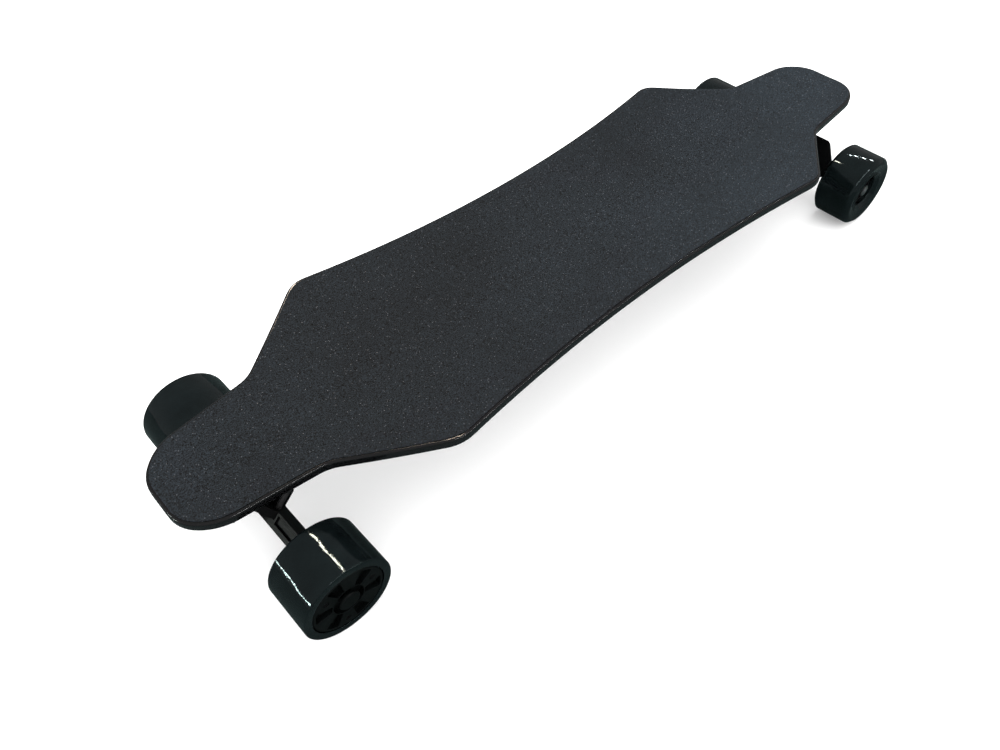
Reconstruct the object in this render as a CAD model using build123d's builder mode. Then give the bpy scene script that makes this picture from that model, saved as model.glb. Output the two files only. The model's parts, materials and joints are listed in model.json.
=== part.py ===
from build123d import *
import os
from math import cos, floor, pi, radians, sin, tan

# Electric skateboard with two rear hub motors.
# Frame: +X forward, +Y left, +Z up, millimetres, origin on the ground under the middle of the deck.

# ---------------------------------------------------------------- driving sizes
deck_length = 973.0
deck_thickness = 11.5
grip_thickness = 0.9
concave_radius = 500.0
waist_half = 111.3
shoulder_half = 132.4
neck_half = 65.4
tip_half = 54.2
end_half = 29.6
shoulder_from_end = 220.5
neck_from_end = 125.0
tip_from_end = 25.1
shoulder_round = 34.0
neck_round = 36.0
tip_round = 52.0
end_round = 37.0
top_edge_round = 2.6
low_edge_round = 4.0
grip_inset = 3.2

axle_from_end = 78.8
wheel_radius = 45.0
front_face = 137.2
front_width = 50.4
rear_face = 141.4
rear_width = 56.4

truck_height = 59.0
riser_thickness = 4.1
steer_angle = 45.0
rake = 4.2
ring_to_foot = 28.3

fit_gap = 0.05
running_gap = 0.04
touch_gap = 0.02

# trucks
plate_thickness = 8.0
plate_inboard = 47.0
plate_outboard = 41.0
plate_half = 29.0
bolt_spacing_x = 53.98
bolt_spacing_y = 41.28
bolt_radius = 2.5
bolt_head_radius = 4.4
bolt_head_height = 4.2
bolt_key_radius = 2.0
bolt_play = 0.2
insert_radius = 4.0
insert_length = 9.0
kingpin_radius = 5.0
kingpin_head_radius = 8.0
kingpin_head_height = 6.0
ring_half = 4.5
ring_radius = 18.0
ring_bore = 9.5
upper_bushing = 15.0
lower_bushing = 13.0
bushing_radius = 12.5
washer_thickness = 2.0
washer_radius = 13.0
kingpin_nut_height = 8.0
kingpin_nut_flat = 8.5
seat_thickness = 12.0
tower_radius = 12.0
tower_length = 14.0
tower_back = -22.0
tower_foot = 4.0
seat_half = 15.0
seat_drop = 5.0
web_inboard = 14.0
web_depth = 26.0
pocket_end = 1.0
cup_radius = 9.0
pin_radius = 6.0
pin_tip_gap = 0.3
cup_floor = 2.7
axle_radius = 4.0
hanger_notch = 16.0
hanger_round = 3.0
flange_low = 5.5
flange_high = 3.0
arm_half = 7.2
arm_below = 8.6
arm_recess = 2.2
arm_recess_from = 36.0
clamp_radius = 4.6

# front wheels
core_radius = 20.0
bearing_radius = 11.0
bearing_width = 7.0
spacer_length = 10.4
axle_washer = 1.0
axle_nut_height = 6.5
axle_nut_flat = 6.5
spacer_radius = 5.6

# rear hub motors
sleeve_wall = 8.0
can_wall = 2.6
magnet_thickness = 2.2
magnet_count = 20
air_gap = 0.7
tooth_count = 12
shaft_radius = 7.5
shaft_nose_radius = 5.0
inner_bearing_radius = 14.0
inner_bearing_width = 7.0
outer_bearing_width = 6.0
cover_groove = 0.6
window_count = 6
window_depth = 5.0
window_half_angle = 12.5
window_phase = 48.0
cover_screw_count = 3
cover_screw_radius = 1.25
cover_screw_head = 2.6
cover_screw_sink = 1.6
motor_boss_out = 74.0
motor_boss_radius = 26.0

# cases
case_half = 58.0
flange_half = 69.0
flange_end = 10.0
case_wall = 3.0
case_height = 33.0
gasket_thickness = 1.0
flange_height = 3.6
case_gap = 24.0
cell_radius = 9.2
cell_length = 65.2
cell_pitch_x = 66.0
cell_pitch_y = 18.9
cell_rows = 5
wiring_room = 20.0
controller_case_length = 230.0
case_screw_radius = 2.0
case_screw_play = 0.15
case_screw_count = 4
case_screw_margin = 16.0
case_screw_head = 3.6
case_screw_head_height = 2.4
case_round = 12.0
case_foot_round = 3.0
wire_hole_radius = 6.0
gland_radius = 5.0
gland_y = 34.0
sink_window_x = 120.0
sink_window_y = 74.0
fin_count = 10
fin_pitch = 7.0
fin_height = 4.0
light_x_size = 18.0
light_z_size = 4.0
light_round = 1.9
socket_flange_radius = 9.5
socket_flange = 2.0
socket_drop = 4.0
cable_radius = 2.75
power_cable_radius = 4.0
socket_x = 46.0
socket_bore = 2.8
socket_depth = 9.0
socket_radius = 7.5
cap_thickness = 2.0
hinge_pin_radius = 0.8
knuckle_radius = 1.7
button_x = -60.0
button_radius = 6.0
button_travel = 1.2
button_proud = 2.4
button_length = 8.0
light_x = -86.0

# ---------------------------------------------------------------- derived positions
half_length = deck_length / 2
axle_x = half_length - axle_from_end
axle_z = wheel_radius
plate_top = axle_z + truck_height
deck_low = plate_top + riser_thickness
deck_top = deck_low + deck_thickness
grip_top = deck_top + grip_thickness
arc_z = grip_top + concave_radius
low_radius = concave_radius + grip_thickness + deck_thickness
steer = radians(steer_angle)
front_middle = front_face - front_width / 2
can_radius = wheel_radius - sleeve_wall
tower_mouth = tower_back + tower_length
cup_depth = tower_length - pocket_end - touch_gap
seat_at = ring_half + upper_bushing + washer_thickness
battery_end = axle_x - plate_inboard - flange_end
cells_along = floor((battery_end - case_gap / 2 - wiring_room - 2 * case_wall) / cell_pitch_x)
battery_length = cells_along * cell_pitch_x + wiring_room + 2 * case_wall
controller_length = min(controller_case_length, battery_length)
case_floor = deck_low - case_height
board_z = case_floor + case_wall + 2 * cell_radius + 2.5

os.makedirs("parts", exist_ok=True)


def save(part, name):
    """Label one finished piece and write it as a STEP file."""
    part.label = name
    export_step(part, "parts/" + name + ".step")


def truck_xz(s, t):
    """Point in a truck's side view: s along the steering axis, t square to it, from the axle."""
    x = s * cos(steer) - (t + rake) * sin(steer)
    z = axle_z + s * sin(steer) + (t + rake) * cos(steer)
    return (x, z)


def side_plane(end):
    """Side view of one truck: local x outboard from the axle, local y up."""
    return Plane(origin=(end * axle_x, 0, 0), x_dir=(end, 0, 0), z_dir=(0, -end, 0))


def ring_plane(end, t=0.0):
    """Plane of the hanger's ring: local x up the steering axis, local z up the kingpin."""
    x, z = truck_xz(0, t)
    return Plane(
        origin=(end * (axle_x + x), 0, z),
        x_dir=(end * cos(steer), 0, sin(steer)),
        z_dir=(-end * sin(steer), 0, cos(steer)),
    )


def axis_plane(end, s):
    """Plane square to the steering axis at distance s from the axle's foot."""
    x, z = truck_xz(s, 0)
    return Plane(origin=(end * (axle_x + x), 0, z), x_dir=(0, 1, 0), z_dir=(end * cos(steer), 0, sin(steer)))


def axle_plane(end, side):
    """Plane through one axle: local x outboard along the axle, local y the radius."""
    return Plane(origin=(end * axle_x, 0, axle_z), x_dir=(0, side, 0), z_dir=(side, 0, 0))


def face_plane(end, side, y):
    """Plane square to the axle at distance y from the middle, facing outboard."""
    return Plane(origin=(end * axle_x, side * y, axle_z), x_dir=(-side, 0, 0), z_dir=(0, side, 0))


def axle_axis(end):
    """Centre line of one axle."""
    return Axis((end * axle_x, 0, axle_z), (0, 1, 0))


def turned(end, side, points):
    """Piece turned about the axle from (distance outboard, radius) points."""
    with BuildPart() as piece:
        with BuildSketch(axle_plane(end, side)):
            with BuildLine():
                Polyline(*points, close=True)
            make_face()
        revolve(axis=axle_axis(end))
    return piece.part


def turned_ring(end, side, y0, y1, r0, r1):
    """Plain ring about the axle between two distances and two radii."""
    return turned(end, side, [(y0, r0), (y1, r0), (y1, r1), (y0, r1)])


def ring_rod(plane, radius, bore, length):
    """Round sleeve standing on a plane."""
    with BuildPart() as rod:
        with BuildSketch(plane):
            Circle(radius)
            Circle(bore, mode=Mode.SUBTRACT)
        extrude(amount=length)
    return rod.part


def hex_nut(plane, flat_radius, bore, length):
    """Hexagon nut standing on a plane, corners eased."""
    with BuildPart() as nut:
        with BuildSketch(plane):
            RegularPolygon(flat_radius, 6, major_radius=False)
            Circle(bore, mode=Mode.SUBTRACT)
        extrude(amount=length)
    return nut.part


def joined(pieces):
    """Several separate solids kept together as one node."""
    return Compound(children=list(pieces))


# ---------------------------------------------------------------- deck
def deck_plan(inset):
    """Plan outline of the deck: waist arc, shoulders, necks and round ends."""
    xs = half_length - shoulder_from_end
    xn = half_length - neck_from_end
    xt = half_length - tip_from_end
    with BuildSketch() as plan:
        with BuildLine():
            ThreePointArc((-xs, -shoulder_half), (0, -waist_half), (xs, -shoulder_half))
            Polyline(
                (xs, -shoulder_half),
                (xn, -neck_half),
                (xt, -tip_half),
                (half_length, -end_half),
                (half_length, end_half),
                (xt, tip_half),
                (xn, neck_half),
                (xs, shoulder_half),
            )
            ThreePointArc((xs, shoulder_half), (0, waist_half), (-xs, shoulder_half))
            Polyline(
                (-xs, shoulder_half),
                (-xn, neck_half),
                (-xt, tip_half),
                (-half_length, end_half),
                (-half_length, -end_half),
                (-xt, -tip_half),
                (-xn, -neck_half),
                (-xs, -shoulder_half),
            )
        make_face()
        for x, size in ((xs, shoulder_round), (xn, neck_round), (xt, tip_round), (half_length, end_round)):
            corners = [v for v in plan.vertices() if abs(abs(v.X) - x) < 0.01]
            fillet(corners, size)
        if inset > 0:
            offset(amount=-inset, mode=Mode.REPLACE)
    return plan.sketch


def bolt_points(end):
    """Plan positions of the four mounting bolts of one truck."""
    middle = axle_x - (plate_inboard - plate_outboard) / 2
    points = []
    for dx in (-bolt_spacing_x / 2, bolt_spacing_x / 2):
        for dy in (-bolt_spacing_y / 2, bolt_spacing_y / 2):
            points.append((end * (middle + dx), dy))
    return points


def case_screw_points(start, length, way):
    """Plan positions of the screws along both edges of one case."""
    points = []
    for i in range(case_screw_count):
        x = start + case_screw_margin + i * (length - 2 * case_screw_margin) / (case_screw_count - 1)
        for y in (-(case_half + flange_half) / 2, (case_half + flange_half) / 2):
            points.append((way * x, y))
    return points


battery_screws = case_screw_points(case_gap / 2, battery_length, 1)
controller_screws = case_screw_points(case_gap / 2, controller_length, -1)
truck_bolt_points = bolt_points(1) + bolt_points(-1)

with BuildPart() as deck:
    with BuildSketch(Plane.XY.offset(deck_low - 5)):
        add(deck_plan(0))
    extrude(amount=60)
    with BuildSketch(Plane.YZ.offset(-half_length - 5)):
        with Locations((0, arc_z)):
            Circle(low_radius)
            Circle(concave_radius + grip_thickness, mode=Mode.SUBTRACT)
    extrude(amount=deck_length + 10, mode=Mode.INTERSECT)
    broad = deck.faces().sort_by(SortBy.AREA)[-2:].sort_by(Axis.Z)
    fillet(broad[-1].edges(), top_edge_round)
    broad = deck.faces().sort_by(SortBy.AREA)[-2:].sort_by(Axis.Z)
    fillet(broad[0].edges(), low_edge_round)
    with BuildSketch(Plane.XY.offset(deck_low - 1)):
        with Locations(*truck_bolt_points):
            Circle(insert_radius)
    extrude(amount=insert_length + 1, mode=Mode.SUBTRACT)
    with BuildSketch(Plane.XY.offset(deck_low - 1)):
        with Locations(*(battery_screws + controller_screws)):
            Circle(case_screw_radius + fit_gap)
    extrude(amount=insert_length + 1, mode=Mode.SUBTRACT)
save(deck.part, "deck")

with BuildPart() as grip:
    with BuildSketch(Plane.XY.offset(deck_low)):
        add(deck_plan(grip_inset))
    extrude(amount=60)
    with BuildSketch(Plane.YZ.offset(-half_length - 5)):
        with Locations((0, arc_z)):
            Circle(concave_radius + grip_thickness)
            Circle(concave_radius, mode=Mode.SUBTRACT)
    extrude(amount=deck_length + 10, mode=Mode.INTERSECT)
save(grip.part, "grip_tape")

inserts = []
for x, y in truck_bolt_points:
    sleeve = ring_rod(Plane.XY.offset(deck_low + 1).move(Location((x, y, 0))), insert_radius - touch_gap,
                      bolt_radius + fit_gap, insert_length - 1.5)
    inserts.append(sleeve)
save(joined(inserts), "deck_inserts")


# ---------------------------------------------------------------- trucks
def riser(end):
    """Soft pad between one baseplate and the curved underside of the deck."""
    middle = end * (axle_x - (plate_inboard - plate_outboard) / 2)
    with BuildPart() as pad:
        with BuildSketch(Plane.XY.offset(plate_top)):
            with Locations((middle, 0)):
                RectangleRounded(plate_inboard + plate_outboard + 4, 2 * plate_half + 4, 8)
        extrude(amount=riser_thickness + 4)
        with BuildSketch(Plane.XY.offset(plate_top)):
            with Locations(*bolt_points(end)):
                Circle(bolt_radius + bolt_play)
        extrude(amount=riser_thickness + 4, mode=Mode.SUBTRACT)
        with BuildSketch(Plane.YZ.offset(-half_length - 5)):
            with Locations((0, arc_z)):
                Circle(low_radius + touch_gap)
        extrude(amount=deck_length + 10, mode=Mode.SUBTRACT)
    return pad.part


save(joined([riser(1), riser(-1)]), "riser_pads")


def baseplate(end):
    """Cast baseplate: mounting plate, kingpin seat and pivot tower."""
    low = plate_top - plate_thickness
    seat_low = truck_xz(ring_to_foot - seat_half, seat_at)
    seat_high = truck_xz(ring_to_foot + seat_half, seat_at)
    with BuildPart() as plate:
        with BuildSketch(side_plane(end)):
            with BuildLine():
                Polyline(
                    (-plate_inboard, plate_top),
                    (-plate_inboard, low),
                    (plate_outboard, low),
                    (plate_outboard, plate_top),
                    close=True,
                )
            make_face()
        extrude(amount=plate_half, both=True)
        fillet(plate.edges().filter_by(Axis.Z), 9)
        with BuildSketch(side_plane(end)):
            with BuildLine():
                Polyline(
                    (seat_high[0] + 2, low + 1),
                    seat_high,
                    seat_low,
                    (seat_low[0] - 8, seat_low[1] - seat_drop),
                    truck_xz(tower_mouth, tower_radius),
                    truck_xz(tower_mouth, -tower_radius),
                    truck_xz(tower_back, -tower_radius + tower_foot),
                    truck_xz(tower_back, tower_radius),
                    (-plate_inboard + web_inboard, low - web_depth),
                    (-plate_inboard + web_inboard / 2, low + 1),
                    close=True,
                )
            make_face()
        extrude(amount=tower_radius + 1.5, both=True)
        with BuildSketch(ring_plane(end, seat_at - 1)):
            with Locations((ring_to_foot, 0)):
                Circle(kingpin_radius + fit_gap)
        extrude(amount=seat_thickness + 30, mode=Mode.SUBTRACT)
        with BuildSketch(ring_plane(end, seat_at + seat_thickness)):
            with Locations((ring_to_foot, 0)):
                Circle(kingpin_head_radius + 0.6)
        extrude(amount=30, mode=Mode.SUBTRACT)
        with BuildSketch(axis_plane(end, tower_mouth + 1)):
            Circle(cup_radius)
        extrude(amount=-tower_length, mode=Mode.SUBTRACT)
        with BuildSketch(Plane.XY.offset(low - 1)):
            with Locations(*bolt_points(end)):
                Circle(bolt_radius + bolt_play)
        extrude(amount=plate_thickness + 2, mode=Mode.SUBTRACT)
    return plate.part


save(baseplate(1), "front_baseplate")
save(baseplate(-1), "rear_baseplate")

bolt_parts = []
for x, y in truck_bolt_points:
    with BuildPart() as bolt:
        with BuildSketch(Plane.XY.offset(plate_top - plate_thickness - bolt_head_height)):
            with Locations((x, y)):
                Circle(bolt_head_radius)
        extrude(amount=bolt_head_height)
        with BuildSketch(Plane.XY.offset(plate_top - plate_thickness)):
            with Locations((x, y)):
                Circle(bolt_radius)
        extrude(amount=plate_thickness + riser_thickness + insert_length - 1)
        with BuildSketch(Plane.XY.offset(plate_top - plate_thickness - bolt_head_height)):
            with Locations((x, y)):
                RegularPolygon(bolt_key_radius, 6)
        extrude(amount=0.6 * bolt_head_height, mode=Mode.SUBTRACT)
    bolt_parts.append(bolt.part)
save(joined(bolt_parts), "truck_bolts")


def kingpin(end):
    """Kingpin with its head under the deck, standing square to the steering axis."""
    length = seat_at + seat_thickness + ring_half + lower_bushing + washer_thickness + kingpin_nut_height + 2
    with BuildPart() as pin:
        with BuildSketch(ring_plane(end, seat_at + seat_thickness)):
            with Locations((ring_to_foot, 0)):
                Circle(kingpin_head_radius)
        extrude(amount=kingpin_head_height)
        with BuildSketch(ring_plane(end, seat_at + seat_thickness)):
            with Locations((ring_to_foot, 0)):
                Circle(kingpin_radius)
        extrude(amount=-length)
        chamfer(pin.edges().filter_by(GeomType.CIRCLE).sort_by(Axis.Z)[0], 1.0)
    return pin.part


def kingpin_at(end, t):
    """Plane square to the kingpin at height t, centred on it."""
    return ring_plane(end, t).shift_origin(ring_plane(end, t).from_local_coords(Vector(ring_to_foot, 0, 0)))


save(joined([kingpin(1), kingpin(-1)]), "kingpins")
nut_top = -ring_half - lower_bushing - washer_thickness
nuts = []
for end in (1, -1):
    nuts.append(hex_nut(kingpin_at(end, nut_top), kingpin_nut_flat, kingpin_radius + touch_gap, -kingpin_nut_height))
save(joined(nuts), "kingpin_nuts")

washers = []
for end in (1, -1):
    bore = kingpin_radius + fit_gap
    washers.append(ring_rod(kingpin_at(end, seat_at), washer_radius, bore, -washer_thickness))
    washers.append(ring_rod(kingpin_at(end, nut_top), washer_radius, bore, washer_thickness))
save(joined(washers), "bushing_washers")


def bushing(end, start, length):
    """One soft bushing round the kingpin, waisted a little in the middle."""
    with BuildPart() as soft:
        with BuildSketch(kingpin_at(end, start)):
            Circle(bushing_radius)
            Circle(kingpin_radius + fit_gap, mode=Mode.SUBTRACT)
        extrude(amount=length)
        chamfer(soft.edges().filter_by(GeomType.CIRCLE).group_by(SortBy.LENGTH)[-1], 1.2)
    return soft.part


for end, name in ((1, "front_bushings"), (-1, "rear_bushings")):
    upper = bushing(end, ring_half, upper_bushing)
    lower = bushing(end, -ring_half - lower_bushing, lower_bushing)
    save(joined([upper, lower]), name)


def pivot_cup(end):
    """Soft cup in the baseplate's tower that takes the hanger's pivot pin."""
    with BuildPart() as cup:
        with BuildSketch(axis_plane(end, tower_mouth)):
            Circle(cup_radius - touch_gap)
        extrude(amount=-cup_depth)
        with BuildSketch(axis_plane(end, tower_mouth)):
            Circle(pin_radius + running_gap)
        extrude(amount=-cup_depth + cup_floor, mode=Mode.SUBTRACT)
    return cup.part


save(joined([pivot_cup(1), pivot_cup(-1)]), "pivot_cups")


def hanger(end, outline, arm_to, boss_radius, bore_from, bore):
    """Hanger cast in the plane of its ring, with the pivot pin and two arms round the axle.

    outline holds (s, y) corners of one half, from the middle at the top to the middle at the foot.
    A boss_radius of 0 gives square-edged arms in place of round ones.
    """
    mirrored = [(s, -y) for s, y in reversed(outline) if y > 0]
    tip = tower_mouth - cup_depth + cup_floor + pin_tip_gap
    with BuildPart() as body:
        with BuildSketch(ring_plane(end, -ring_half)):
            with BuildLine():
                Polyline(*(outline + mirrored), close=True)
            make_face()
        extrude(amount=2 * ring_half)
        upright = Axis((0, 0, 0), ring_plane(end).z_dir)
        fillet(body.edges().filter_by(upright), hanger_round)
        with BuildSketch(ring_plane(end, -ring_half)):
            with Locations((ring_to_foot, 0)):
                Circle(ring_radius)
        extrude(amount=2 * ring_half)
        if boss_radius > 0:
            with BuildSketch(face_plane(end, 1, -arm_to)):
                Circle(boss_radius)
            extrude(amount=2 * arm_to)
        else:
            with BuildSketch(ring_plane(end, -rake - arm_below)):
                RectangleRounded(2 * arm_half, 2 * arm_to, 2.0)
            extrude(amount=rake + arm_below + ring_half)
            with BuildSketch(ring_plane(end, -rake - arm_below + flange_low)):
                for side in (1, -1):
                    with Locations((arm_half, side * (arm_to + arm_recess_from) / 2 - side * 2)):
                        RectangleRounded(2 * arm_recess, arm_to - arm_recess_from - 4, 1.5)
            extrude(amount=rake + arm_below + ring_half - flange_low - flange_high, mode=Mode.SUBTRACT)
        with BuildSketch(ring_plane(end, -40)):
            with Locations((-20.0 - 5.5, 0)):
                Rectangle(40, 2 * hanger_notch)
        extrude(amount=80, mode=Mode.SUBTRACT)
        with BuildSketch(ring_plane(end, -40)):
            with Locations((ring_to_foot, 0)):
                Circle(ring_bore)
        extrude(amount=80, mode=Mode.SUBTRACT)
        with BuildSketch(axis_plane(end, -4)):
            Circle(pin_radius)
        extrude(amount=tip + 4)
        for side in (1, -1):
            with BuildSketch(face_plane(end, side, bore_from)):
                Circle(bore)
            extrude(amount=arm_to - bore_from + 1, mode=Mode.SUBTRACT)
    return body.part


front_boss_end = front_middle - spacer_length / 2 - bearing_width - axle_washer
wing_end = front_face - front_width - 13.0
front_outline = [
    (33.5, 0),
    (33.5, wing_end - 16),
    (14.0, wing_end),
    (-10.0, wing_end),
    (-14.0, hanger_notch + 8),
    (-14.0, 0),
]
front_body = hanger(1, front_outline, front_boss_end, 9.0, -1, axle_radius + touch_gap)
save(front_body, "front_hanger")

arm_end = motor_boss_out - 2.0
rear_outline = [
    (40.0, 0),
    (40.0, 12),
    (24.0, 18),
    (arm_half, 34),
    (-5.0, 34),
    (-5.0, 0),
]
rear_hanger_blank = hanger(-1, rear_outline, arm_end, 0, 48.0, clamp_radius + touch_gap)
cable_exit = 27.0
with BuildPart() as rear_body:
    add(rear_hanger_blank)
    with BuildSketch(ring_plane(-1, 0)):
        with Locations((3.0, cable_exit), (3.0, -cable_exit)):
            Circle(cable_radius + 0.3)
    extrude(amount=30, mode=Mode.SUBTRACT)
    for side in (1, -1):
        with BuildSketch(face_plane(-1, side, cable_exit - 3)):
            Circle(cable_radius + 0.3)
        extrude(amount=26, mode=Mode.SUBTRACT)
save(rear_body.part, "rear_hanger")


# ---------------------------------------------------------------- front running gear
axle_end = front_middle + spacer_length / 2 + bearing_width + axle_washer + axle_nut_height + 1.0
with BuildPart() as axle:
    with BuildSketch(face_plane(1, 1, -axle_end)):
        Circle(axle_radius)
    extrude(amount=2 * axle_end)
    chamfer(axle.edges().filter_by(GeomType.CIRCLE), 0.6)
save(axle.part, "front_axle")

bearing_in = front_middle - spacer_length / 2 - bearing_width
bearing_out = front_middle + spacer_length / 2 + bearing_width
nuts = []
washers = []
spacers = []
axle_bore = axle_radius + touch_gap
for side in (1, -1):
    nut_seat = face_plane(1, side, bearing_out + axle_washer)
    nuts.append(hex_nut(nut_seat, axle_nut_flat, axle_bore, axle_nut_height))
    for y in (bearing_in - axle_washer, bearing_out):
        washers.append(turned_ring(1, side, y, y + axle_washer, axle_bore, axle_nut_flat - 0.3))
    spacers.append(
        turned_ring(1, side, bearing_in + bearing_width, bearing_out - bearing_width, axle_bore, spacer_radius)
    )
save(joined(nuts), "front_axle_nuts")
save(joined(washers), "front_axle_washers")
save(joined(spacers), "front_axle_spacers")


def front_tyre(side):
    """Cast urethane tyre: flat tread, rounded lips, shallow dished faces."""
    inner = front_face - front_width
    with BuildPart() as tyre:
        with BuildSketch(axle_plane(1, side)) as section:
            with BuildLine():
                Polyline(
                    (inner, core_radius + 1.5),
                    (inner, wheel_radius - 5),
                    (inner + 4, wheel_radius),
                    (front_face - 5.5, wheel_radius),
                    (front_face, wheel_radius - 7),
                    (front_face - 2.2, core_radius + 3.5),
                    (front_face - 5.5, core_radius),
                    (inner + 2.0, core_radius),
                    close=True,
                )
            make_face()
            outer = [v for v in section.vertices() if v.Z > axle_z + wheel_radius - 8]
            fillet(outer, 2.4)
        revolve(axis=axle_axis(1))
    return tyre.part


def front_core(side):
    """Stiff core: outer ring, hub with bearing seats and spokes between them."""
    low = front_middle - spacer_length / 2
    high = front_middle + spacer_length / 2
    with BuildPart() as core:
        with BuildSketch(axle_plane(1, side)):
            with BuildLine():
                Polyline(
                    (low - bearing_width, bearing_radius),
                    (low, bearing_radius),
                    (low, bearing_radius - 2),
                    (high, bearing_radius - 2),
                    (high, bearing_radius),
                    (high + bearing_width, bearing_radius),
                    (high + bearing_width, bearing_radius + 2.6),
                    (low - bearing_width, bearing_radius + 2.6),
                    close=True,
                )
            make_face()
        revolve(axis=axle_axis(1))
        with BuildSketch(face_plane(1, side, low - bearing_width - 2)):
            Circle(core_radius)
            Circle(core_radius - 2.4, mode=Mode.SUBTRACT)
        extrude(amount=spacer_length + 2 * bearing_width + 4)
        with BuildSketch(face_plane(1, side, low - 3)):
            with PolarLocations(bearing_radius + 4.5, 8):
                Rectangle(7.5, 3.2)
        extrude(amount=spacer_length + 6)
    return core.part


for side, name in ((1, "left"), (-1, "right")):
    save(front_tyre(side), "front_" + name + "_tyre")
    save(front_core(side), "front_" + name + "_core")
    pair = []
    for y in (bearing_in, bearing_out - bearing_width):
        ring = turned(
            1,
            side,
            [
                (y, axle_radius + running_gap),
                (y + bearing_width, axle_radius + running_gap),
                (y + bearing_width, 6.0),
                (y + bearing_width - 0.4, 6.3),
                (y + bearing_width - 0.4, 9.3),
                (y + bearing_width, 9.6),
                (y + bearing_width, bearing_radius - 0.01),
                (y, bearing_radius - 0.01),
                (y, 9.6),
                (y + 0.4, 9.3),
                (y + 0.4, 6.3),
                (y, 6.0),
            ],
        )
        pair.append(ring)
    save(joined(pair), "front_" + name + "_bearings")


# ---------------------------------------------------------------- rear hub motors
sleeve_in = rear_face - rear_width
can_in = sleeve_in + 2.0
can_out = rear_face - 7.0
rotor_radius = can_radius - can_wall
magnet_radius = rotor_radius - magnet_thickness
stator_radius = magnet_radius - air_gap
stator_in = sleeve_in + 15.0
stator_out = rear_face - 17.4
cover_face = rear_face - 0.4
cover_radius = can_radius - cover_groove
window_outer = cover_radius - 3.0
window_inner = cover_radius * 0.46
recess_outer = window_inner - 1.0
cap_radius = recess_outer * 0.66
cover_screw_ring = cover_radius * 0.74
cover_screw_phase = window_phase - 180.0 / window_count
shaft_shoulder = rear_face - 14.0
inner_bearing_at = sleeve_in + 3.5


def sleeve(side):
    """Replaceable urethane sleeve of a hub motor."""
    with BuildPart() as tyre:
        with BuildSketch(axle_plane(-1, side)) as section:
            with BuildLine():
                Polyline(
                    (sleeve_in, can_radius),
                    (sleeve_in, wheel_radius - 1.5),
                    (sleeve_in + 1.5, wheel_radius),
                    (rear_face - 1.8, wheel_radius),
                    (rear_face, wheel_radius - 1.8),
                    (rear_face, can_radius),
                    close=True,
                )
            make_face()
            corners = [v for v in section.vertices() if v.Z > axle_z + wheel_radius - 2]
            fillet(corners, 0.8)
        revolve(axis=axle_axis(-1))
    return tyre.part


def outer_cover(side):
    """Motor cover with keystone windows round a raised hub cap."""
    bearing_at = shaft_shoulder + 0.4
    with BuildPart() as cover:
        with BuildSketch(axle_plane(-1, side)):
            with BuildLine():
                Polyline(
                    (can_out, bearing_radius + 3.5),
                    (can_out, cover_radius),
                    (cover_face - 0.8, cover_radius),
                    (cover_face, cover_radius - 0.8),
                    (cover_face, recess_outer),
                    (cover_face - window_depth - 0.5, recess_outer),
                    (cover_face - window_depth - 0.5, cap_radius * 0.62),
                    (cover_face - 0.4, cap_radius * 0.62),
                    (cover_face - 0.4, cap_radius),
                    (cover_face + 1.4, cap_radius),
                    (cover_face + 2.2, cap_radius - 0.8),
                    (cover_face + 2.2, 0),
                    (bearing_at + outer_bearing_width + 0.2, 0),
                    (bearing_at + outer_bearing_width + 0.2, bearing_radius - 2.5),
                    (bearing_at + outer_bearing_width, bearing_radius - 2.5),
                    (bearing_at + outer_bearing_width, bearing_radius),
                    (bearing_at, bearing_radius),
                    (bearing_at, bearing_radius + 3.5),
                    close=True,
                )
            make_face()
        revolve(axis=axle_axis(-1))
        slope = tan(radians(window_half_angle))
        wedge = [(8, 8 * slope), (50, 50 * slope), (50, -50 * slope), (8, -8 * slope)]
        with BuildSketch(face_plane(-1, side, cover_face)) as windows:
            with PolarLocations(0, window_count, start_angle=window_phase):
                Polygon(*wedge, align=None)
            Circle(window_outer, mode=Mode.INTERSECT)
            Circle(window_inner, mode=Mode.SUBTRACT)
            fillet(windows.vertices(), 1.2)
        extrude(amount=-window_depth, mode=Mode.SUBTRACT)
        with BuildSketch(face_plane(-1, side, cover_face)):
            with PolarLocations(cover_screw_ring, cover_screw_count, start_angle=cover_screw_phase):
                Circle(cover_screw_head + 0.3)
        extrude(amount=-cover_screw_sink, mode=Mode.SUBTRACT)
        with BuildSketch(face_plane(-1, side, cover_face)):
            with PolarLocations(cover_screw_ring, cover_screw_count, start_angle=cover_screw_phase):
                Circle(cover_screw_radius + fit_gap)
        extrude(amount=-cover_screw_sink - 3.9, mode=Mode.SUBTRACT)
    return cover.part


def cover_screws(side):
    """Three countersunk screws of one outer cover."""
    with BuildPart() as screws:
        with BuildSketch(face_plane(-1, side, cover_face - cover_screw_sink)):
            with PolarLocations(cover_screw_ring, cover_screw_count, start_angle=cover_screw_phase):
                Circle(cover_screw_head)
        extrude(amount=1.2)
        with BuildSketch(face_plane(-1, side, cover_face - 0.4)):
            with PolarLocations(cover_screw_ring, cover_screw_count, start_angle=cover_screw_phase):
                RegularPolygon(1.1, 6)
        extrude(amount=-0.9, mode=Mode.SUBTRACT)
        with BuildSketch(face_plane(-1, side, cover_face - cover_screw_sink)):
            with PolarLocations(cover_screw_ring, cover_screw_count, start_angle=cover_screw_phase):
                Circle(cover_screw_radius)
        extrude(amount=-3.8)
    return screws.part


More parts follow.
